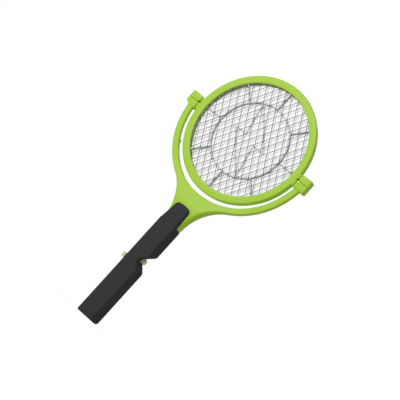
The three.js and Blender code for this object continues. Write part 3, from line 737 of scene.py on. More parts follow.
def make_ring_half(towards):
    """Half the ring with its ears; the front half shows the pins in slots, the back the screws."""
    name = side_name(towards)
    recess_depth, recess_radius, boss_depth, boss_radius = 1.8, 2.4, 4.2, 2.0
    slot_z = (AXIS_Z - SLOT_BELOW, AXIS_Z + SLOT_ABOVE)
    far = BOSS_END + PAST
    piece = turned(f"{name}_ring_half", ring_profile(towards))
    for side in (-1, 1):
        join(piece, ring_boss(side, towards))
    for side in (-1, 1):
        cut(piece, along_x("bore", side * (DISC_RADIUS - 1), side * far, BORE_RADIUS))
        if towards < 0:
            slot_x = sorted((side * (RING_RADIUS - 0.2), side * far))
            cut(piece, slab("slot", slot_x, (RING_FRONT - 1, HEAD_Y), slot_z))
    for place in RING_SCREWS:
        if towards > 0:
            start, end = RING_BACK + 1, RING_BACK - recess_depth
            cut(piece, along_y("recess", place, start, end, recess_radius, 24))
        else:
            start, end = split_y(-1), HEAD_Y - boss_depth
            join(piece, along_y("boss", place, start, end, boss_radius, 20))
    tidy(piece)
    dress(piece, "head", LIME, [f"ring_{name}"])


# ---------------------------------------------------------------- yoke


def flare():
    """Radius and centre of the curve from the neck's side to the arm's outer circle."""
    drop = HEAD_Z - NECK_ROOT
    radius = (NECK_HALF**2 + drop**2 - YOKE_OUTER**2) / (2 * (YOKE_OUTER - NECK_HALF))
    return radius, NECK_HALF + radius


def smooth_ramp(z):
    """0 on the neck, 1 on the arms."""
    share = min(1, max(0, (z - RAMP_LOW) / (RAMP_HIGH - RAMP_LOW)))
    return share * share * (3 - 2 * share)


def yoke_surface(towards, z):
    """Y of the front or back face and the radius of its edge at a height."""
    arm = HEAD_Y + towards * ARM_HALF_THICKNESS
    neck, neck_edge = (NECK_FRONT, 4.6) if towards < 0 else (NECK_BACK, 2.4)
    arm_edge = 2.2
    share = smooth_ramp(z)
    edge = neck_edge * (1 - share) + arm_edge * share
    return arm * share + neck * (1 - share), edge


def yoke_stations(draft):
    """(inner point, outer point, inner end is a real edge), from the block to the neck's root."""
    radius, centre_x = flare()
    meet = math.degrees(math.atan2(NECK_ROOT - HEAD_Z, centre_x))
    top = BLOCK_BOTTOM + 3
    lead, bend_share = 3, 0.3
    arm_steps, bend_steps, neck_steps = 30, 16, 30
    outer_top = math.degrees(math.asin((top - HEAD_Z) / YOKE_OUTER))
    inner_top = math.degrees(math.asin((top - HEAD_Z) / YOKE_INNER))
    stations = []
    outer = arc(0, HEAD_Z, YOKE_OUTER, outer_top, meet, arm_steps)
    inner = arc(0, HEAD_Z, YOKE_INNER, inner_top, meet - lead, arm_steps)
    stations += [(a, b, True) for a, b in zip(inner, outer)]
    flare_turn = 180 + meet
    flare_part = flare_turn + (180 - flare_turn) * bend_share
    outer = arc(centre_x, NECK_ROOT, radius, flare_turn, flare_part, bend_steps)[1:]
    inner = arc(0, HEAD_Z, YOKE_INNER, meet - lead, -90, bend_steps)[1:]
    stations += [(a, b, True) for a, b in zip(inner, outer)]
    outer = arc(centre_x, NECK_ROOT, radius, flare_part, 180, neck_steps)[1:]
    heights = np.linspace(HEAD_Z - YOKE_INNER - draft, NECK_ROOT, neck_steps + 1)[1:]
    stations += [((0, z), b, False) for z, b in zip(heights, outer)]
    return stations


def yoke_row(inner, outer, real_edge, towards, draft=0.0):
    """Points across one station: rounded at its edges, level between them."""
    inner, outer = np.asarray(inner, float), np.asarray(outer, float)
    length = np.linalg.norm(outer - inner)
    outer = outer - (outer - inner) / length * draft
    if real_edge:
        outward = inner - (0, HEAD_Z)
        inner = inner + outward / np.linalg.norm(outward) * draft
    length = np.linalg.norm(outer - inner)
    way = (outer - inner) / length
    bends = [(1 - math.cos(bend), 1 - math.sin(bend)) for bend in quarter_turn(6)]
    edge = yoke_surface(towards, outer[1])[1]
    inner_edge = yoke_surface(towards, inner[1])[1] if real_edge else edge
    from_inner = [(inner_edge * a, inner_edge * b if real_edge else 0.0) for a, b in bends]
    from_outer = [(edge * a, edge * b) for a, b in bends]
    row = [(inner + way * distance, drop) for distance, drop in from_inner]
    gap_start, gap_end = from_inner[-1][0], length - from_outer[-1][0]
    for share in (0.25, 0.5, 0.75):
        row.append((inner + way * (gap_start + (gap_end - gap_start) * share), 0.0))
    for distance, drop in reversed(from_outer):
        row.append((outer - way * distance, drop))
    points = []
    for (x, z), drop in row:
        face, _ = yoke_surface(towards, z)
        points.append((x, face - towards * drop, z))
    return points


def yoke_half_mesh(name, towards):
    """Face grid and split grid over one side, mirrored, and closed along every edge."""
    split = split_y(towards)
    draft = YOKE_DRAFT if towards > 0 else 0.0
    stations = yoke_stations(draft)
    rows = [yoke_row(*station, towards, draft) for station in stations]
    split_rows = [yoke_row(*station, towards) for station in stations]
    real = [station[2] for station in stations]
    width = len(rows[0])
    points, faces = [], []
    for mirror in (1, -1):
        # The face grid starts at base and the split grid at flat.
        base = len(points)
        for row in rows:
            points += [(mirror * x, y, z) for x, y, z in row]
        flat = len(points)
        for row in split_rows:
            points += [(mirror * x, split, z) for x, _, z in row]
        for r in range(len(rows) - 1):
            for c in range(width - 1):
                a, b = base + r * width + c, base + r * width + c + 1
                faces.append((a, b, b + width, a + width))
                a, b = flat + r * width + c, flat + r * width + c + 1
                faces.append((a, a + width, b + width, b))
            # Side walls, save on the middle plane, where both sides meet.
            for c in (0, width - 1):
                if c == 0 and not real[r + 1]:
                    continue
                a, b = base + r * width + c, flat + r * width + c
                faces.append((a, a + width, b + width, b))
        # End walls in the block and at the neck's root.
        for r in (0, len(rows) - 1):
            for c in range(width - 1):
                a, b = base + r * width + c, flat + r * width + c
                faces.append((a, a + 1, b + 1, b))
    return solid(name, points, faces)


def lead_route(side):
    """The channel's centre line: beside the arm's outer edge, into the neck, and down."""
    from_outside, high_turn, low_turn, end_z = 2.5, -10, -68, 150
    foot = HEAD_Z - YOKE_OUTER
    route = [(BLOCK_INNER + 7, AXIS_Z - PIN_RADIUS - 4)]
    route += arc(0, HEAD_Z, YOKE_OUTER - from_outside, high_turn, low_turn, 16)
    route += [(19, foot - 1), (11, foot - 11), (6, foot - 21), (3, foot - 37), (3, end_z)]
    return [(side * x, HEAD_Y, z) for x, z in route]


def yoke_screw_places():
    """Two screws on each side: one in the arm, one in the neck."""
    x, z = on_head_circle(YOKE_INNER + YOKE_SCREW_INSET, -YOKE_SCREW_TURN)
    neck_z = HEAD_Z - YOKE_INNER - NECK_SCREW_DROP
    return [place for side in (-1, 1) for place in ((side * x, z), (side * NECK_SCREW_X, neck_z))]


YOKE_SCREWS = yoke_screw_places()


def lower_block(side, towards):
    """The lower half of a bearing block, cut square above and chamfered at its heel.

    The left block's heel is cut back deeply, the right one's is only broken.
    """
    heel_x, heel_z = (8, 5) if side < 0 else (1.4, 1.4)
    top = AXIS_Z - CAP_SEAM
    corners = [
        (side * BLOCK_INNER, top),
        (side * BLOCK_INNER, BLOCK_BOTTOM),
        (side * (BLOCK_OUTER - heel_x), BLOCK_BOTTOM),
        (side * BLOCK_OUTER, BLOCK_BOTTOM + heel_z),
        (side * BLOCK_OUTER, top),
    ]
    radii = [0.1, 0.8, 1.0, 1.0, 0.1]
    face = BLOCK_FRONT if towards < 0 else BLOCK_BACK
    return half_plate("block", corners, radii, face, towards, BLOCK_EDGE)


def pin_bore(side):
    depth = 10.5
    return along_x("bore", side * (BOSS_END - 1), side * (BOSS_END + depth + SEAM), BORE_RADIUS)


def cap_screw_room(side):
    """Room for a cap screw's head and for its shank."""
    x, y, top = side * (BLOCK_OUTER - SCREW_FROM_END), CAP_SCREW_Y, BLOCK_TOP + 1
    head_depth, shank_depth = 2.1, 16.7
    head = rod("recess", (x, y, BLOCK_TOP - head_depth), (x, y, top), SCREW_RECESS, 28)
    shank = rod("shank", (x, y, BLOCK_TOP - shank_depth), (x, y, top), 1.25, 16)
    return head, shank


def leaf_pocket(side):
    """Room below the pin for the contact leaf."""
    start, end, depth, overlap = 3, 11, 5, 0.5
    top = AXIS_Z - PIN_RADIUS
    x = sorted((side * (BLOCK_INNER + start), side * (BLOCK_INNER + end)))
    y = (HEAD_Y - BORE_RADIUS, HEAD_Y + BORE_RADIUS)
    return slab("pocket", x, y, (top - depth, top + overlap))


def cut_yoke_screws(piece):
    """Recesses in the back half, each on a round pad where the arm is narrow."""
    face = HEAD_Y + ARM_HALF_THICKNESS
    pad_start, pad_sink, pad_radius, recess_depth = HEAD_Y + 1.13, 0.3, 2.95, 1.9
    for place in YOKE_SCREWS:
        if place[1] > RAMP_HIGH:
            join(piece, along_y("pad", place, pad_start, face - pad_sink, pad_radius, 29))
        cut(piece, along_y("recess", place, HANDLE_BACK, face - recess_depth, SCREW_RECESS, 28))


def make_yoke_half(towards):
    """Half the yoke: arms, neck and lower bearing blocks, with room for pins, leads and screws."""
    name = side_name(towards)
    piece = yoke_half_mesh(f"{name}_yoke_half", towards)
    for side in (-1, 1):
        join(piece, lower_block(side, towards))
    tongue_half, tongue_back, tongue_depth, post_room = 13, 9.0, 16, 3.3
    span = sorted((NECK_FRONT if towards < 0 else tongue_back, split_y(towards)))
    tongue_z = (BACK_SHELL_TOP - tongue_depth, NECK_ROOT + 1)
    join(piece, slab("tongue", (-tongue_half, tongue_half), span, tongue_z, 0.5))
    for side in (-1, 1):
        cut(piece, pin_bore(side), tube("channel", lead_route(side), 1.3))
        cut(piece, leaf_pocket(side), *cap_screw_room(side))
    for place in HANDLE_SCREWS[:2]:
        cut(piece, along_y("hole", place, NECK_FRONT - 2, HANDLE_BACK, post_room, 40))
    if towards > 0:
        cut_yoke_screws(piece)
    tidy(piece)
    dress(piece, "handle", LIME, [f"yoke_{name}"])


def make_cap(side):
    """A bearing cap: chamfered at its inner top corner, rounded elsewhere, relieved at the pin."""
    chamfer = 3
    corners = [
        (side * BLOCK_INNER, AXIS_Z + CAP_SEAM),
        (side * BLOCK_INNER, BLOCK_TOP - chamfer),
        (side * (BLOCK_INNER + chamfer), BLOCK_TOP),
        (side * BLOCK_OUTER, BLOCK_TOP),
        (side * BLOCK_OUTER, AXIS_Z + CAP_SEAM),
    ]
    radii = [0.2, 0.8, 0.8, 1.6, 0.2]
    name = "left" if side < 0 else "right"
    piece = rounded_plate(
        f"{name}_bearing_cap", corners, radii, BLOCK_FRONT, BLOCK_BACK, BLOCK_EDGE, BLOCK_EDGE
    )
    relief_depth = 2.4
    relief_x = sorted((side * (BLOCK_INNER - 1), side * (BLOCK_INNER + relief_depth)))
    relief_z = (AXIS_Z - 1, AXIS_Z + SLOT_ABOVE)
    relief = slab("relief", relief_x, (BLOCK_FRONT - 1, HEAD_Y), relief_z)
    cut(piece, pin_bore(side), relief, *cap_screw_room(side))
    tidy(piece)
    dress(piece, "handle", LIME, [f"pivot_cap_{name}"])


# ---------------------------------------------------------------- handle


def soft_min(first, second, blend):
    """The lesser of two curves, with the corner where they cross rounded."""
    reach = np.maximum(blend - np.abs(first - second), 0) / blend
    return np.minimum(first, second) - reach * reach * blend / 4


def soft_max(first, second, blend):
    return -soft_min(-first, -second, blend)


def right_side(y, z):
    """X of the handle's right side: straight, with the leaning finger notch."""
    floor_blend, valley_blend, lip_blend = 3.0, 3.2, 2.2
    height = z - NOTCH_LEAN * y
    rise = (NOTCH_TOP - NOTCH_FLOOR - NOTCH_FLAT) / (HALF_WIDTH - NOTCH_X)
    fall = (NOTCH_FLOOR - NOTCH_FLAT - NOTCH_BOTTOM) / (HALF_WIDTH - NOTCH_X)
    above = (height - NOTCH_FLOOR - NOTCH_FLAT) / rise
    below = (NOTCH_FLOOR - NOTCH_FLAT - height) / fall
    valley = soft_max(above, below, floor_blend)
    slope = soft_max(valley, np.zeros_like(height), valley_blend)
    notch = NOTCH_X - NOTCH_DEEPENING * y + slope
    return soft_min(notch, np.full_like(height, HALF_WIDTH), lip_blend)


def tip_half_width(z):
    """Half the width of the front shell's tongue above the back shell."""
    start = BACK_SHELL_TOP - 2
    corner_start = TIP_TOP - TIP_CROWN - TIP_CORNER
    share = min(1, max(0, (z - start) / (corner_start - start)))
    taper = HALF_WIDTH - (HALF_WIDTH - TIP_HALF_WIDTH) * share * (2 - share)
    if z <= corner_start:
        return taper
    lift = min(TIP_CORNER, z - corner_start)
    return TIP_HALF_WIDTH - TIP_CORNER + math.sqrt(max(0.0, TIP_CORNER**2 - lift**2))


def tip_front(z):
    """Y of the front face above the back shell: it falls back and rounds over at its end."""
    fall, edge = 4.0, 2.4
    start = BACK_SHELL_TOP - 2
    share = max(0.0, (z - start) / (TIP_TOP - start))
    face = HANDLE_FRONT + fall * share**1.5
    over = min(max(0.0, z - (TIP_TOP - TIP_CROWN - edge)), edge)
    return face + edge - math.sqrt(max(0.0, edge**2 - over**2))


def handle_section(z, towards, inset_by=0.0, width=HALF_WIDTH, face=None, end=None):
    """One closed loop of a shell: sides, rounded corners and face, and straight at the split."""
    half = width - inset_by
    if face is None:
        face = HANDLE_FRONT if towards < 0 else HANDLE_BACK
    face -= towards * inset_by
    end = towards * SEAM / 2 if end is None else end
    least_edge, width_share, depth_share = 0.6, 0.9, 0.8
    edge = max(least_edge, (FRONT_EDGE if towards < 0 else BACK_EDGE) - inset_by)
    edge = min(edge, half * width_share, abs(face - end) * depth_share)
    wall_steps, bend_steps, face_steps = 8, 8, 12
    bends = np.radians(np.linspace(0, 90, bend_steps + 1))
    wall = np.linspace(end, face - towards * edge, wall_steps + 1)
    corner_y = face - towards * edge + towards * edge * np.sin(bends)
    corner_x = half - edge + edge * np.cos(bends)
    across = np.linspace(-1, 1, face_steps + 1)[1:-1] * (half - edge)
    side_x = np.concatenate((np.full(wall_steps, half), corner_x))
    side_y = np.concatenate((wall[:-1], corner_y))
    left = [(-x, y) for x, y in zip(side_x, side_y)]
    right = [(x, y) for x, y in zip(side_x, side_y)][::-1]
    loop = np.array(left + [(x, face) for x in across] + right)
    shift = HALF_WIDTH - right_side(loop[:, 1], np.full(len(loop), float(z)))
    weight = np.clip((loop[:, 0] + half - edge) / (2 * (half - edge)), 0, 1)
    loop[:, 0] -= weight * shift
    return np.column_stack((loop, np.full(len(loop), z)))


def handle_levels(low, high):
    """Heights: fine through the notch, coarser elsewhere."""
    fine, coarse, least = 0.8, 3.0, 0.05
    levels = [low]
    while levels[-1] < high - least:
        z = levels[-1]
        step = fine if NOTCH_BOTTOM - 10 < z < NOTCH_TOP + 9 else coarse
        levels.append(min(high, z + step))
    return levels


def butt_sections(towards, edge):
    """Sections that round the butt's edges, lowest first."""
    bends = [(1 - math.cos(bend), 1 - math.sin(bend)) for bend in quarter_turn(6)[:-1]]
    return [handle_section(edge * rise, towards, edge * step_in) for rise, step_in in bends]


def make_front_shell_blank():
    """The front shell without its hollow: the grip, then the tongue over the yoke's neck."""
    loops = butt_sections(-1, BUTT_FRONT_EDGE)
    loops += [handle_section(z, -1) for z in handle_levels(BUTT_FRONT_EDGE, BACK_SHELL_TOP - 2)]
    for z in (BACK_SHELL_TOP - 1, BACK_SHELL_TOP):
        loops.append(handle_section(z, -1, face=tip_front(z)))
    top = TIP_TOP - TIP_CROWN
    corner_bends = np.radians(np.linspace(10, 84, 10))
    heights = list(np.linspace(BACK_SHELL_TOP, top - TIP_CORNER, 16))
    heights += [top - TIP_CORNER * (1 - math.sin(bend)) for bend in corner_bends]
    widths = [tip_half_width(z) for z in heights]
    for share in (0.85, 0.65, 0.4, 0.2):
        heights.append(top + 0.9 * TIP_CROWN * (1 - share**2))
        widths.append(tip_half_width(top - TIP_CORNER * (1 - math.sin(corner_bends[-1]))) * share)
    for z, width in zip(heights, widths):
        end = yoke_surface(-1, z)[0] - SEAM
        loops.append(handle_section(z, -1, 0, width, tip_front(z), end))
    return stacked("front_handle_half", loops)


def make_back_shell_blank():
    """The back shell without its hollow: its top edge is rounded like its butt."""
    loops = butt_sections(1, BUTT_BACK_EDGE)
    levels = handle_levels(BUTT_BACK_EDGE, BACK_SHELL_TOP - TOP_EDGE)
    loops += [handle_section(z, 1) for z in levels]
    for bend in np.radians(np.linspace(18, 90, 5)):
        z = BACK_SHELL_TOP - TOP_EDGE * (1 - math.sin(bend))
        loops.append(handle_section(z, 1, TOP_EDGE * (1 - math.cos(bend))))
    return stacked("back_handle_half", loops)


def make_cavity(towards):
    """The hollow of a shell, reaching past the split so that the cut is clean."""
    past_split = -towards * 3.0
    levels = handle_levels(WALL, BACK_SHELL_TOP - WALL)
    return stacked("cavity", [handle_section(z, towards, WALL, end=past_split) for z in levels])


def screw_boss(place, towards):
    face = (HANDLE_FRONT if towards < 0 else HANDLE_BACK) - towards * 1.0
    return along_y("boss", place, towards * (SEAM / 2 + 0.03), face, 3.1, 26)


def cut_neck_and_trigger_room(piece):
    """Room for the yoke's tongue and the opening that the trigger comes through."""
    tongue_y = (NECK_FRONT - SEAM, 9.3)
    tongue_z = (BACK_SHELL_TOP - WALL - 1, BACK_SHELL_TOP + 1)
    trigger_z = (TRIGGER_Z - 4.5, TRIGGER_Z + 4.5)
    cut(piece, slab("tongue_room", (-13.3, 13.3), tongue_y, tongue_z))
    cut(piece, slab("trigger_room", (-1, 30), (-3.1, 3.1), trigger_z, 0.6))


def cut_knob_slot(piece):
    """The slot for the knob's stem, longer upwards by the switch's travel."""
    x, z = (-30, -HALF_WIDTH + WALL + 1), (KNOB_Z - 1.8, KNOB_Z + 5.8)
    cut(piece, slab("knob_slot", x, (-8.8, -5.2), z))


def cut_door_room(piece):
    """The door's opening and the two slots that its tabs turn in."""
    half_width, low, high, corner = 10.9, 12, 98, 1.5
    depth = (HANDLE_BACK - WALL - 1, HANDLE_BACK + 5)
    cut(piece, slab("door_room", (-half_width, half_width), depth, (low, high), corner))
    for side in (-1, 1):
        x = (side * DOOR_TAB_X - 2.8, side * DOOR_TAB_X + 2.8)
        cut(piece, slab("tab_room", x, (0.5, HANDLE_BACK - 1.1), (9.7, 13)))


def cut_handle_screws(piece):
    """Deep recesses for the heads, and the holes below them."""
    recess_depth, recess_radius, shank_radius = 4.7, 2.7, 1.3
    start = HANDLE_BACK + 2
    for place in HANDLE_SCREWS:
        cut(piece, along_y("recess", place, start, HANDLE_BACK - recess_depth, recess_radius, 32))
        cut(piece, along_y("shank", place, HANDLE_BACK, -2, shank_radius, 16))


def make_handle_shell(towards):
    piece = make_front_shell_blank() if towards < 0 else make_back_shell_blank()
    cut(piece, make_cavity(towards))
    for place in HANDLE_SCREWS:
        join(piece, screw_boss(place, towards))
    cut_neck_and_trigger_room(piece)
    if towards < 0:
        cut_knob_slot(piece)
    else:
        cut_door_room(piece)
        cut_handle_screws(piece)
    tidy(piece)
    dress(piece, "handle", BLACK, [f"handle_{side_name(towards)}_shell"])


def make_door():
    """The battery door: a flat cover with a thumb scoop, on two tabs."""
    low, high = box_mm("battery_door")
    thickness, bottom, corner, edge = 1.9, 12.3, 1.3, 0.35
    front, back = high[1] - thickness, high[1]
    piece = slab("door_cover", (low[0], high[0]), (front, back), (bottom, high[2]), corner, edge)
    tab_half, tab_thickness, tab_rise, link_start = 2.5, 1.2, 3.7, 0.7
    tab_back = HANDLE_BACK - WALL - SEAM
    tab_front = tab_back - tab_thickness
    for side in (-1, 1):
        x = (side * DOOR_TAB_X - tab_half, side * DOOR_TAB_X + tab_half)
        tab = slab("tab", x, (tab_front, tab_back), (low[2], bottom + tab_rise))
        link_z = (bottom + link_start, bottom + tab_rise)
        join(piece, tab, slab("link", x, (tab_front, front + 0.5), link_z))
    scoop_radius, scoop_depth, scoop_half, scoop_drop = 15.2, 1.0, 7, 14
    y, z = back + scoop_radius - scoop_depth, high[2] - scoop_drop
    cut(piece, rod("scoop", (-scoop_half, y, z), (scoop_half, y, z), scoop_radius, 96))
    tidy(piece)
    dress(piece, "door", BLACK, ["battery_door"])


def make_trigger():
    """The trigger: a rounded button with the flange that keeps it in the handle."""
    low, high = box_mm("trigger_button")
    start, half, half_depth, corner, edge = low[0] + 0.3, 4.2, 2.8, 3.4, 0.9
    bottom, top = TRIGGER_Z - half, TRIGGER_Z + half
    corners = [(start, bottom), (high[0], bottom), (high[0], top), (start, top)]
    radii = [0.3, corner, corner, 0.3]
    piece = rounded_plate("trigger_cap", corners, radii, -half_depth, half_depth, edge, edge)
    flange = slab("flange", (low[0], low[0] + 1), (low[1], high[1]), (low[2], high[2]), 0.3)
    join(piece, flange)
    tidy(piece)
    dress(piece, "trigger", PALE_LIME, ["trigger_button"])


def make_knob():
    """The slide switch's knob, with grip grooves across its end."""
    low, high = box_mm("slide_knob")
    face = -HALF_WIDTH - SEAM
    outer_corner, inner_corner, edge = 1.6, 0.3, 0.8
    corners = [(low[0], low[2]), (face, low[2]), (face, high[2]), (low[0], high[2])]
    radii = [outer_corner, inner_corner, inner_corner, outer_corner]
    piece = rounded_plate("switch_slider", corners, radii, low[1], high[1], edge, edge)
    middle_y, middle_z = (low[1] + high[1]) / 2, (low[2] + high[2]) / 2
    groove_pitch, groove_x, groove_radius = 2, low[0] - 0.25, 0.55
    for step in (-1, 0, 1):
        z = middle_z + groove_pitch * step
        start, end = (groove_x, low[1] - 1, z), (groove_x, high[1] + 1, z)
        cut(piece, rod("groove", start, end, groove_radius, 16))
    stem = 1.5
    stem_y, stem_z = (middle_y - stem, middle_y + stem), (middle_z - stem, middle_z + stem)
    join(piece, slab("stem", (face - 1, high[0]), stem_y, stem_z))
    tidy(piece)
    dress(piece, "switch", PALE_LIME, ["slide_knob"])


# ---------------------------------------------------------------- what repeats, by geometry nodes


class Tree(Graph):
    """A geometry tree with named inputs."""

    def __init__(self, name, inputs):
        group = bpy.data.node_groups.new(name, "GeometryNodeTree")
        super().__init__(group)
        geometry = "NodeSocketGeometry"
        group.interface.new_socket("Geometry", in_out="OUTPUT", socket_type=geometry)
        self.identifiers = {}
        for key, default in inputs.items():
            kind = "NodeSocketObject"
            if isinstance(default, float):
                kind = "NodeSocketFloat"
            elif isinstance(default, bpy.types.Material):
                kind = "NodeSocketMaterial"
            socket = group.interface.new_socket(key, in_out="INPUT", socket_type=kind)
            self.identifiers[key] = socket.identifier
        self.entry = self.node("NodeGroupInput").socket.node

    def given(self, key):
        return Value(self, self.entry.outputs[key])

    def vector(self, x, y, z):
        return self.node("ShaderNodeCombineXYZ", {}, {"X": x, "Y": y, "Z": z})

    def turned_by(self, x, y, z):
        """A rotation from its angles about X, Y and Z."""
        return self.node("FunctionNodeEulerToRotation", {}, {"Euler": self.vector(x, y, z)})

    def close(self, geometry):
        """Ends the tree with plain geometry in the given material."""
        real = self.node("GeometryNodeRealizeInstances", {}, {"Geometry": geometry})
        inputs = {"Geometry": real, "Material": self.given("Material")}
        painted = self.node("GeometryNodeSetMaterial", {}, inputs)
        self.node("NodeGroupOutput", {}, {0: painted})


def grown(name, tree, values):
    """Runs a geometry tree with its inputs set and returns the result as a plain mesh object."""
    piece = link(name, bpy.data.meshes.new(name))
    modifier = piece.modifiers.new("grow", "NODES")
    modifier.node_group = tree.tree
    for key, value in values.items():
        modifier[tree.identifiers[key]] = value
    return bake_modifiers(piece)


def strand_family(tree, lean):
    """Parallel flat strands that lean one way, each as long as the circle is wide there."""
    radius, pitch = tree.given("Radius"), tree.given("Pitch")
    half_count = radius.maths("FLOOR", radius / pitch)
    row = tree.node(
        "GeometryNodeMeshLine", {"mode": "OFFSET"},
        {"Count": half_count * 2 + 1, "Offset": (0, 0, 0)},
    )
    index = tree.node("GeometryNodeInputIndex")
    offset = (index - half_count) * pitch + tree.given("Shift")
    squared = radius * radius - offset * offset
    least_square = 0.0000001
    half_length = squared.maths("SQRT", squared.largest(least_square))
    angle = tree.given("Angle") * lean
    across_x = angle.maths("COSINE", angle) * offset
    across_z = angle.maths("SINE", angle) * offset * -1
    depth = tree.given("Plane") + tree.given("Weave") * lean
    place = tree.vector(across_x, depth, tree.given("Height") + across_z)
    points = tree.node("GeometryNodeSetPosition", {}, {"Geometry": row, "Position": place})
    stored = tree.node(
        "GeometryNodeStoreNamedAttribute", {"data_type": "FLOAT_VECTOR", "domain": "POINT"},
        {
            "Geometry": points, "Name": "bar_scale",
            "Value": tree.vector(tree.given("Width"), tree.given("Depth"), half_length),
        },
    )
    scale = tree.node(
        "GeometryNodeInputNamedAttribute", {"data_type": "FLOAT_VECTOR"}, {"Name": "bar_scale"}
    )
    twist = tree.turned_by(0.0, 0.0, tree.given("Twist") * lean)
    turn = tree.node(
        "FunctionNodeRotateRotation", {"rotation_space": "GLOBAL"},
        {"Rotation": twist, "Rotate By": tree.turned_by(0.0, angle, 0.0)},
    )
    bar = tree.node("GeometryNodeMeshCube", {}, {"Size": (1, 1, 2)})
    return tree.node(
        "GeometryNodeInstanceOnPoints", {},
        {"Points": stored, "Instance": bar, "Rotation": turn, "Scale": scale},
    )


def strand_tree():
    """Expanded mesh: two families of flat strands, each cut to the circle that holds it."""
    sizes = {
        "Radius": 0.09, "Pitch": 0.01, "Shift": 0.0, "Width": 0.001, "Depth": 0.0005,
        "Angle": 0.5, "Twist": 0.2, "Plane": 0.0, "Height": 0.35, "Weave": 0.0001,
    }
    tree = Tree("expanded_mesh", {**sizes, "Material": MESH})
    families = [strand_family(tree, lean) for lean in (-1, 1)]
    tree.close(tree.node("GeometryNodeJoinGeometry", {}, {0: families}))
    return tree


def make_meshes():
    """The two guards and the finer electrode mesh between them."""
    tree = strand_tree()
    lean, weave = math.radians(33), 0.1
    seat = DISC_RADIUS - 0.6
    layers = {
        "guard_front": dict(pitch=10.4, width=0.85, depth=0.34, twist=0.35, shift=0.0),
        "guard_back": dict(pitch=10.4, width=0.8, depth=0.34, twist=-0.35, shift=0.0),
        "electrode_grid": dict(pitch=4.0, width=0.36, depth=0.2, twist=0.2, shift=1.3),
    }
    for name, size in layers.items():
        low, high = box_mm(name)
        finish = GUARD if name == "guard_front" else MESH
        values = {
            "Radius": seat * MM, "Pitch": size["pitch"] * MM, "Shift": size["shift"] * MM,
            "Width": size["width"] * MM, "Depth": size["depth"] * MM,
            "Angle": lean, "Twist": size["twist"], "Plane": (low[1] + high[1]) / 2 * MM,
            "Height": HEAD_Z * MM, "Weave": weave * MM, "Material": finish,
        }
        dress(grown(name + "_strands", tree, values), "head", finish, [name])


RIB = 2.4
RIB_EDGE = 0.3
RIB_CIRCLE = 60
ZIGZAG = [(-33, 4), (-11.3, 3.6), (-23.4, 55.1), (33, -4), (11.3, -3.6), (23.4, -55.1)]


def rib(start, end, front, back):
    """A moulded rib with rounded ends, between two points from the head's centre."""
    start, end = np.asarray(start, float), np.asarray(end, float)
    way = (end - start) / np.linalg.norm(end - start)
    turn = math.degrees(math.atan2(way[1], way[0]))
    half = RIB / 2
    outline = arc(end[0], HEAD_Z + end[1], half, turn - 90, turn + 90, 6)
    outline += arc(start[0], HEAD_Z + start[1], half, turn + 90, turn + 270, 6)
    return plate("rib", outline, front, back, RIB_EDGE, RIB_EDGE, 2)


def hoop(name, radius, width, front, back):
    """A flat ring about the head's centre, with its edges broken."""
    inner, outer, edge = radius - width / 2, radius + width / 2, RIB_EDGE
    profile = []
    for y, step in ((front, edge), (back, -edge)):
        side = [(inner, y + step), (inner + edge, y), (outer - edge, y), (outer, y + step)]
        profile += side if y == front else side[::-1]
    return turned(name, profile, 144)


def make_spacer(name, with_zigzag):
    """A spacer: its rim, the circle rib, eight spokes and, in front, the zigzag."""
    low, high = box_mm(name)
    front, back = low[1], high[1]
    spoke_sink, zigzag_sink = 0.1, 0.05
    rim_inner = RING_INNER + 1.6
    rim_width = DISC_RADIUS - rim_inner
    piece = hoop(f"{name}_frame", rim_inner + rim_width / 2, rim_width, front, back)
    parts = [hoop("hoop", RIB_CIRCLE, RIB, front, back)]
    for turn in np.radians(range(0, 360, 45)):
        way = np.array((math.cos(turn), math.sin(turn)))
        start, end = way * RIB_CIRCLE, way * (RING_INNER + 2.6)
        parts.append(rib(start, end, front + spoke_sink, back - spoke_sink))
    if with_zigzag:
        for start, end in zip(ZIGZAG, ZIGZAG[1:] + ZIGZAG[:1]):
            parts.append(rib(start, end, front + zigzag_sink, back - zigzag_sink))
    join(piece, *parts)
    tidy(piece)
    dress(piece, "head", SPACER, [name])


def screw_mesh():
    """A cross-head screw, its head's face at the origin and its shank along -Y."""
    head = [(1.7, 0.0), (2.05, -0.12), (2.3, -0.45), (2.3, -1.25), (2.2, -1.4)]
    shank = [(1.1, -1.4), (1.1, -7.0)]
    arm_half_length, arm_half_width, arm_depth = 1.25, 0.22, 0.8
    segments = 24
    angles = np.linspace(0, 2 * math.pi, segments, endpoint=False)
    circle = np.column_stack((np.cos(angles), np.sin(angles)))
    piece = stacked("screw_master", [loop_at(radius * circle, y) for radius, y in head + shank])
    for turn in (0, 90):
        arm_x, arm_z = (-arm_half_length, arm_half_length), (-arm_half_width, arm_half_width)
        arm = slab("cross", arm_x, (-arm_depth, 1), arm_z)
        arm.data.transform(Matrix.Rotation(math.radians(turn), 4, "Y"))
        cut(piece, arm)
    return piece


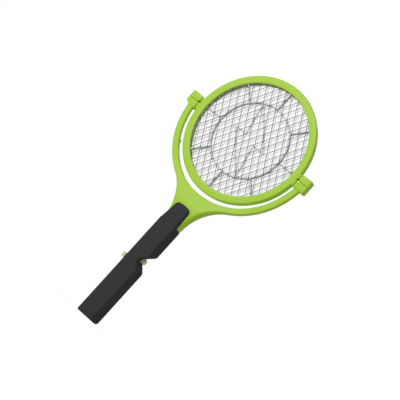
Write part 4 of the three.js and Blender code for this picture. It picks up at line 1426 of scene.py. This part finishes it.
def screw_tree():
    """One screw on each of a set of places."""
    tree = Tree("screws", {"Screw": None, "Points": None, "Tip": 0.0, "Material": STEEL})
    places, screw = (
        tree.node(
            "GeometryNodeObjectInfo", {}, {"Object": tree.given(key)}, output="Geometry"
        )
        for key in ("Points", "Screw")
    )
    turn = tree.turned_by(tree.given("Tip"), 0.0, 0.0)
    inputs = {"Points": places, "Instance": screw, "Rotation": turn}
    tree.close(tree.node("GeometryNodeInstanceOnPoints", {}, inputs))
    return tree


def make_screws():
    """All screws, one mesh for each set; the caps' screws stand upright."""
    tree = screw_tree()
    master = screw_mesh()
    ring_y = RING_BACK - SCREW_SINK
    yoke_y = HEAD_Y + ARM_HALF_THICKNESS - SCREW_SINK
    handle_y = HANDLE_BACK - HANDLE_SCREW_SINK
    cap_x, cap_z = BLOCK_OUTER - SCREW_FROM_END, BLOCK_TOP - SCREW_SINK
    level, upright = 0.0, math.pi / 2
    sets = [
        ("ring", "head", [(x, ring_y, z) for x, z in RING_SCREWS], level),
        ("yoke", "handle", [(x, yoke_y, z) for x, z in YOKE_SCREWS], level),
        ("handle", "handle", [(x, handle_y, z) for x, z in HANDLE_SCREWS], level),
        ("cap", "handle", [(x, CAP_SCREW_Y, cap_z) for x in (-cap_x, cap_x)], upright),
    ]
    for name, body, places, tip in sets:
        mesh = bpy.data.meshes.new("places")
        mesh.from_pydata([tuple(np.asarray(place) * MM) for place in places], [], [])
        points = link("places", mesh)
        values = {"Screw": master, "Points": points, "Tip": tip, "Material": STEEL}
        piece = grown(f"{name}_screws", tree, values)
        bpy.data.objects.remove(points)
        numbers = ("left", "right") if name == "cap" else range(1, len(places) + 1)
        dress(piece, body, STEEL, [f"{name}_screw_{number}" for number in numbers])
    bpy.data.objects.remove(master)


def paint_remaining_nodes():
    """The CAD nodes that stay visible get the finish of their material slot."""
    slots = {part["node"]: part["material_slot"] for part in frame["record"]["subparts"]}
    for node, piece in frame["nodes"].items():
        if piece.hide_render:
            continue
        piece.data.materials.clear()
        piece.data.materials.append(FINISHES[slots[node]])


make_camera()
make_world()
make_floor()
make_lights()
for make_half in (make_ring_half, make_yoke_half, make_cap, make_handle_shell):
    make_half(-1)
    make_half(1)
make_door()
make_trigger()
make_knob()
make_meshes()
make_spacer("spacer_front", True)
make_spacer("spacer_back", False)
make_screws()
paint_remaining_nodes()

bpy.context.scene.view_settings.view_transform = "Standard"
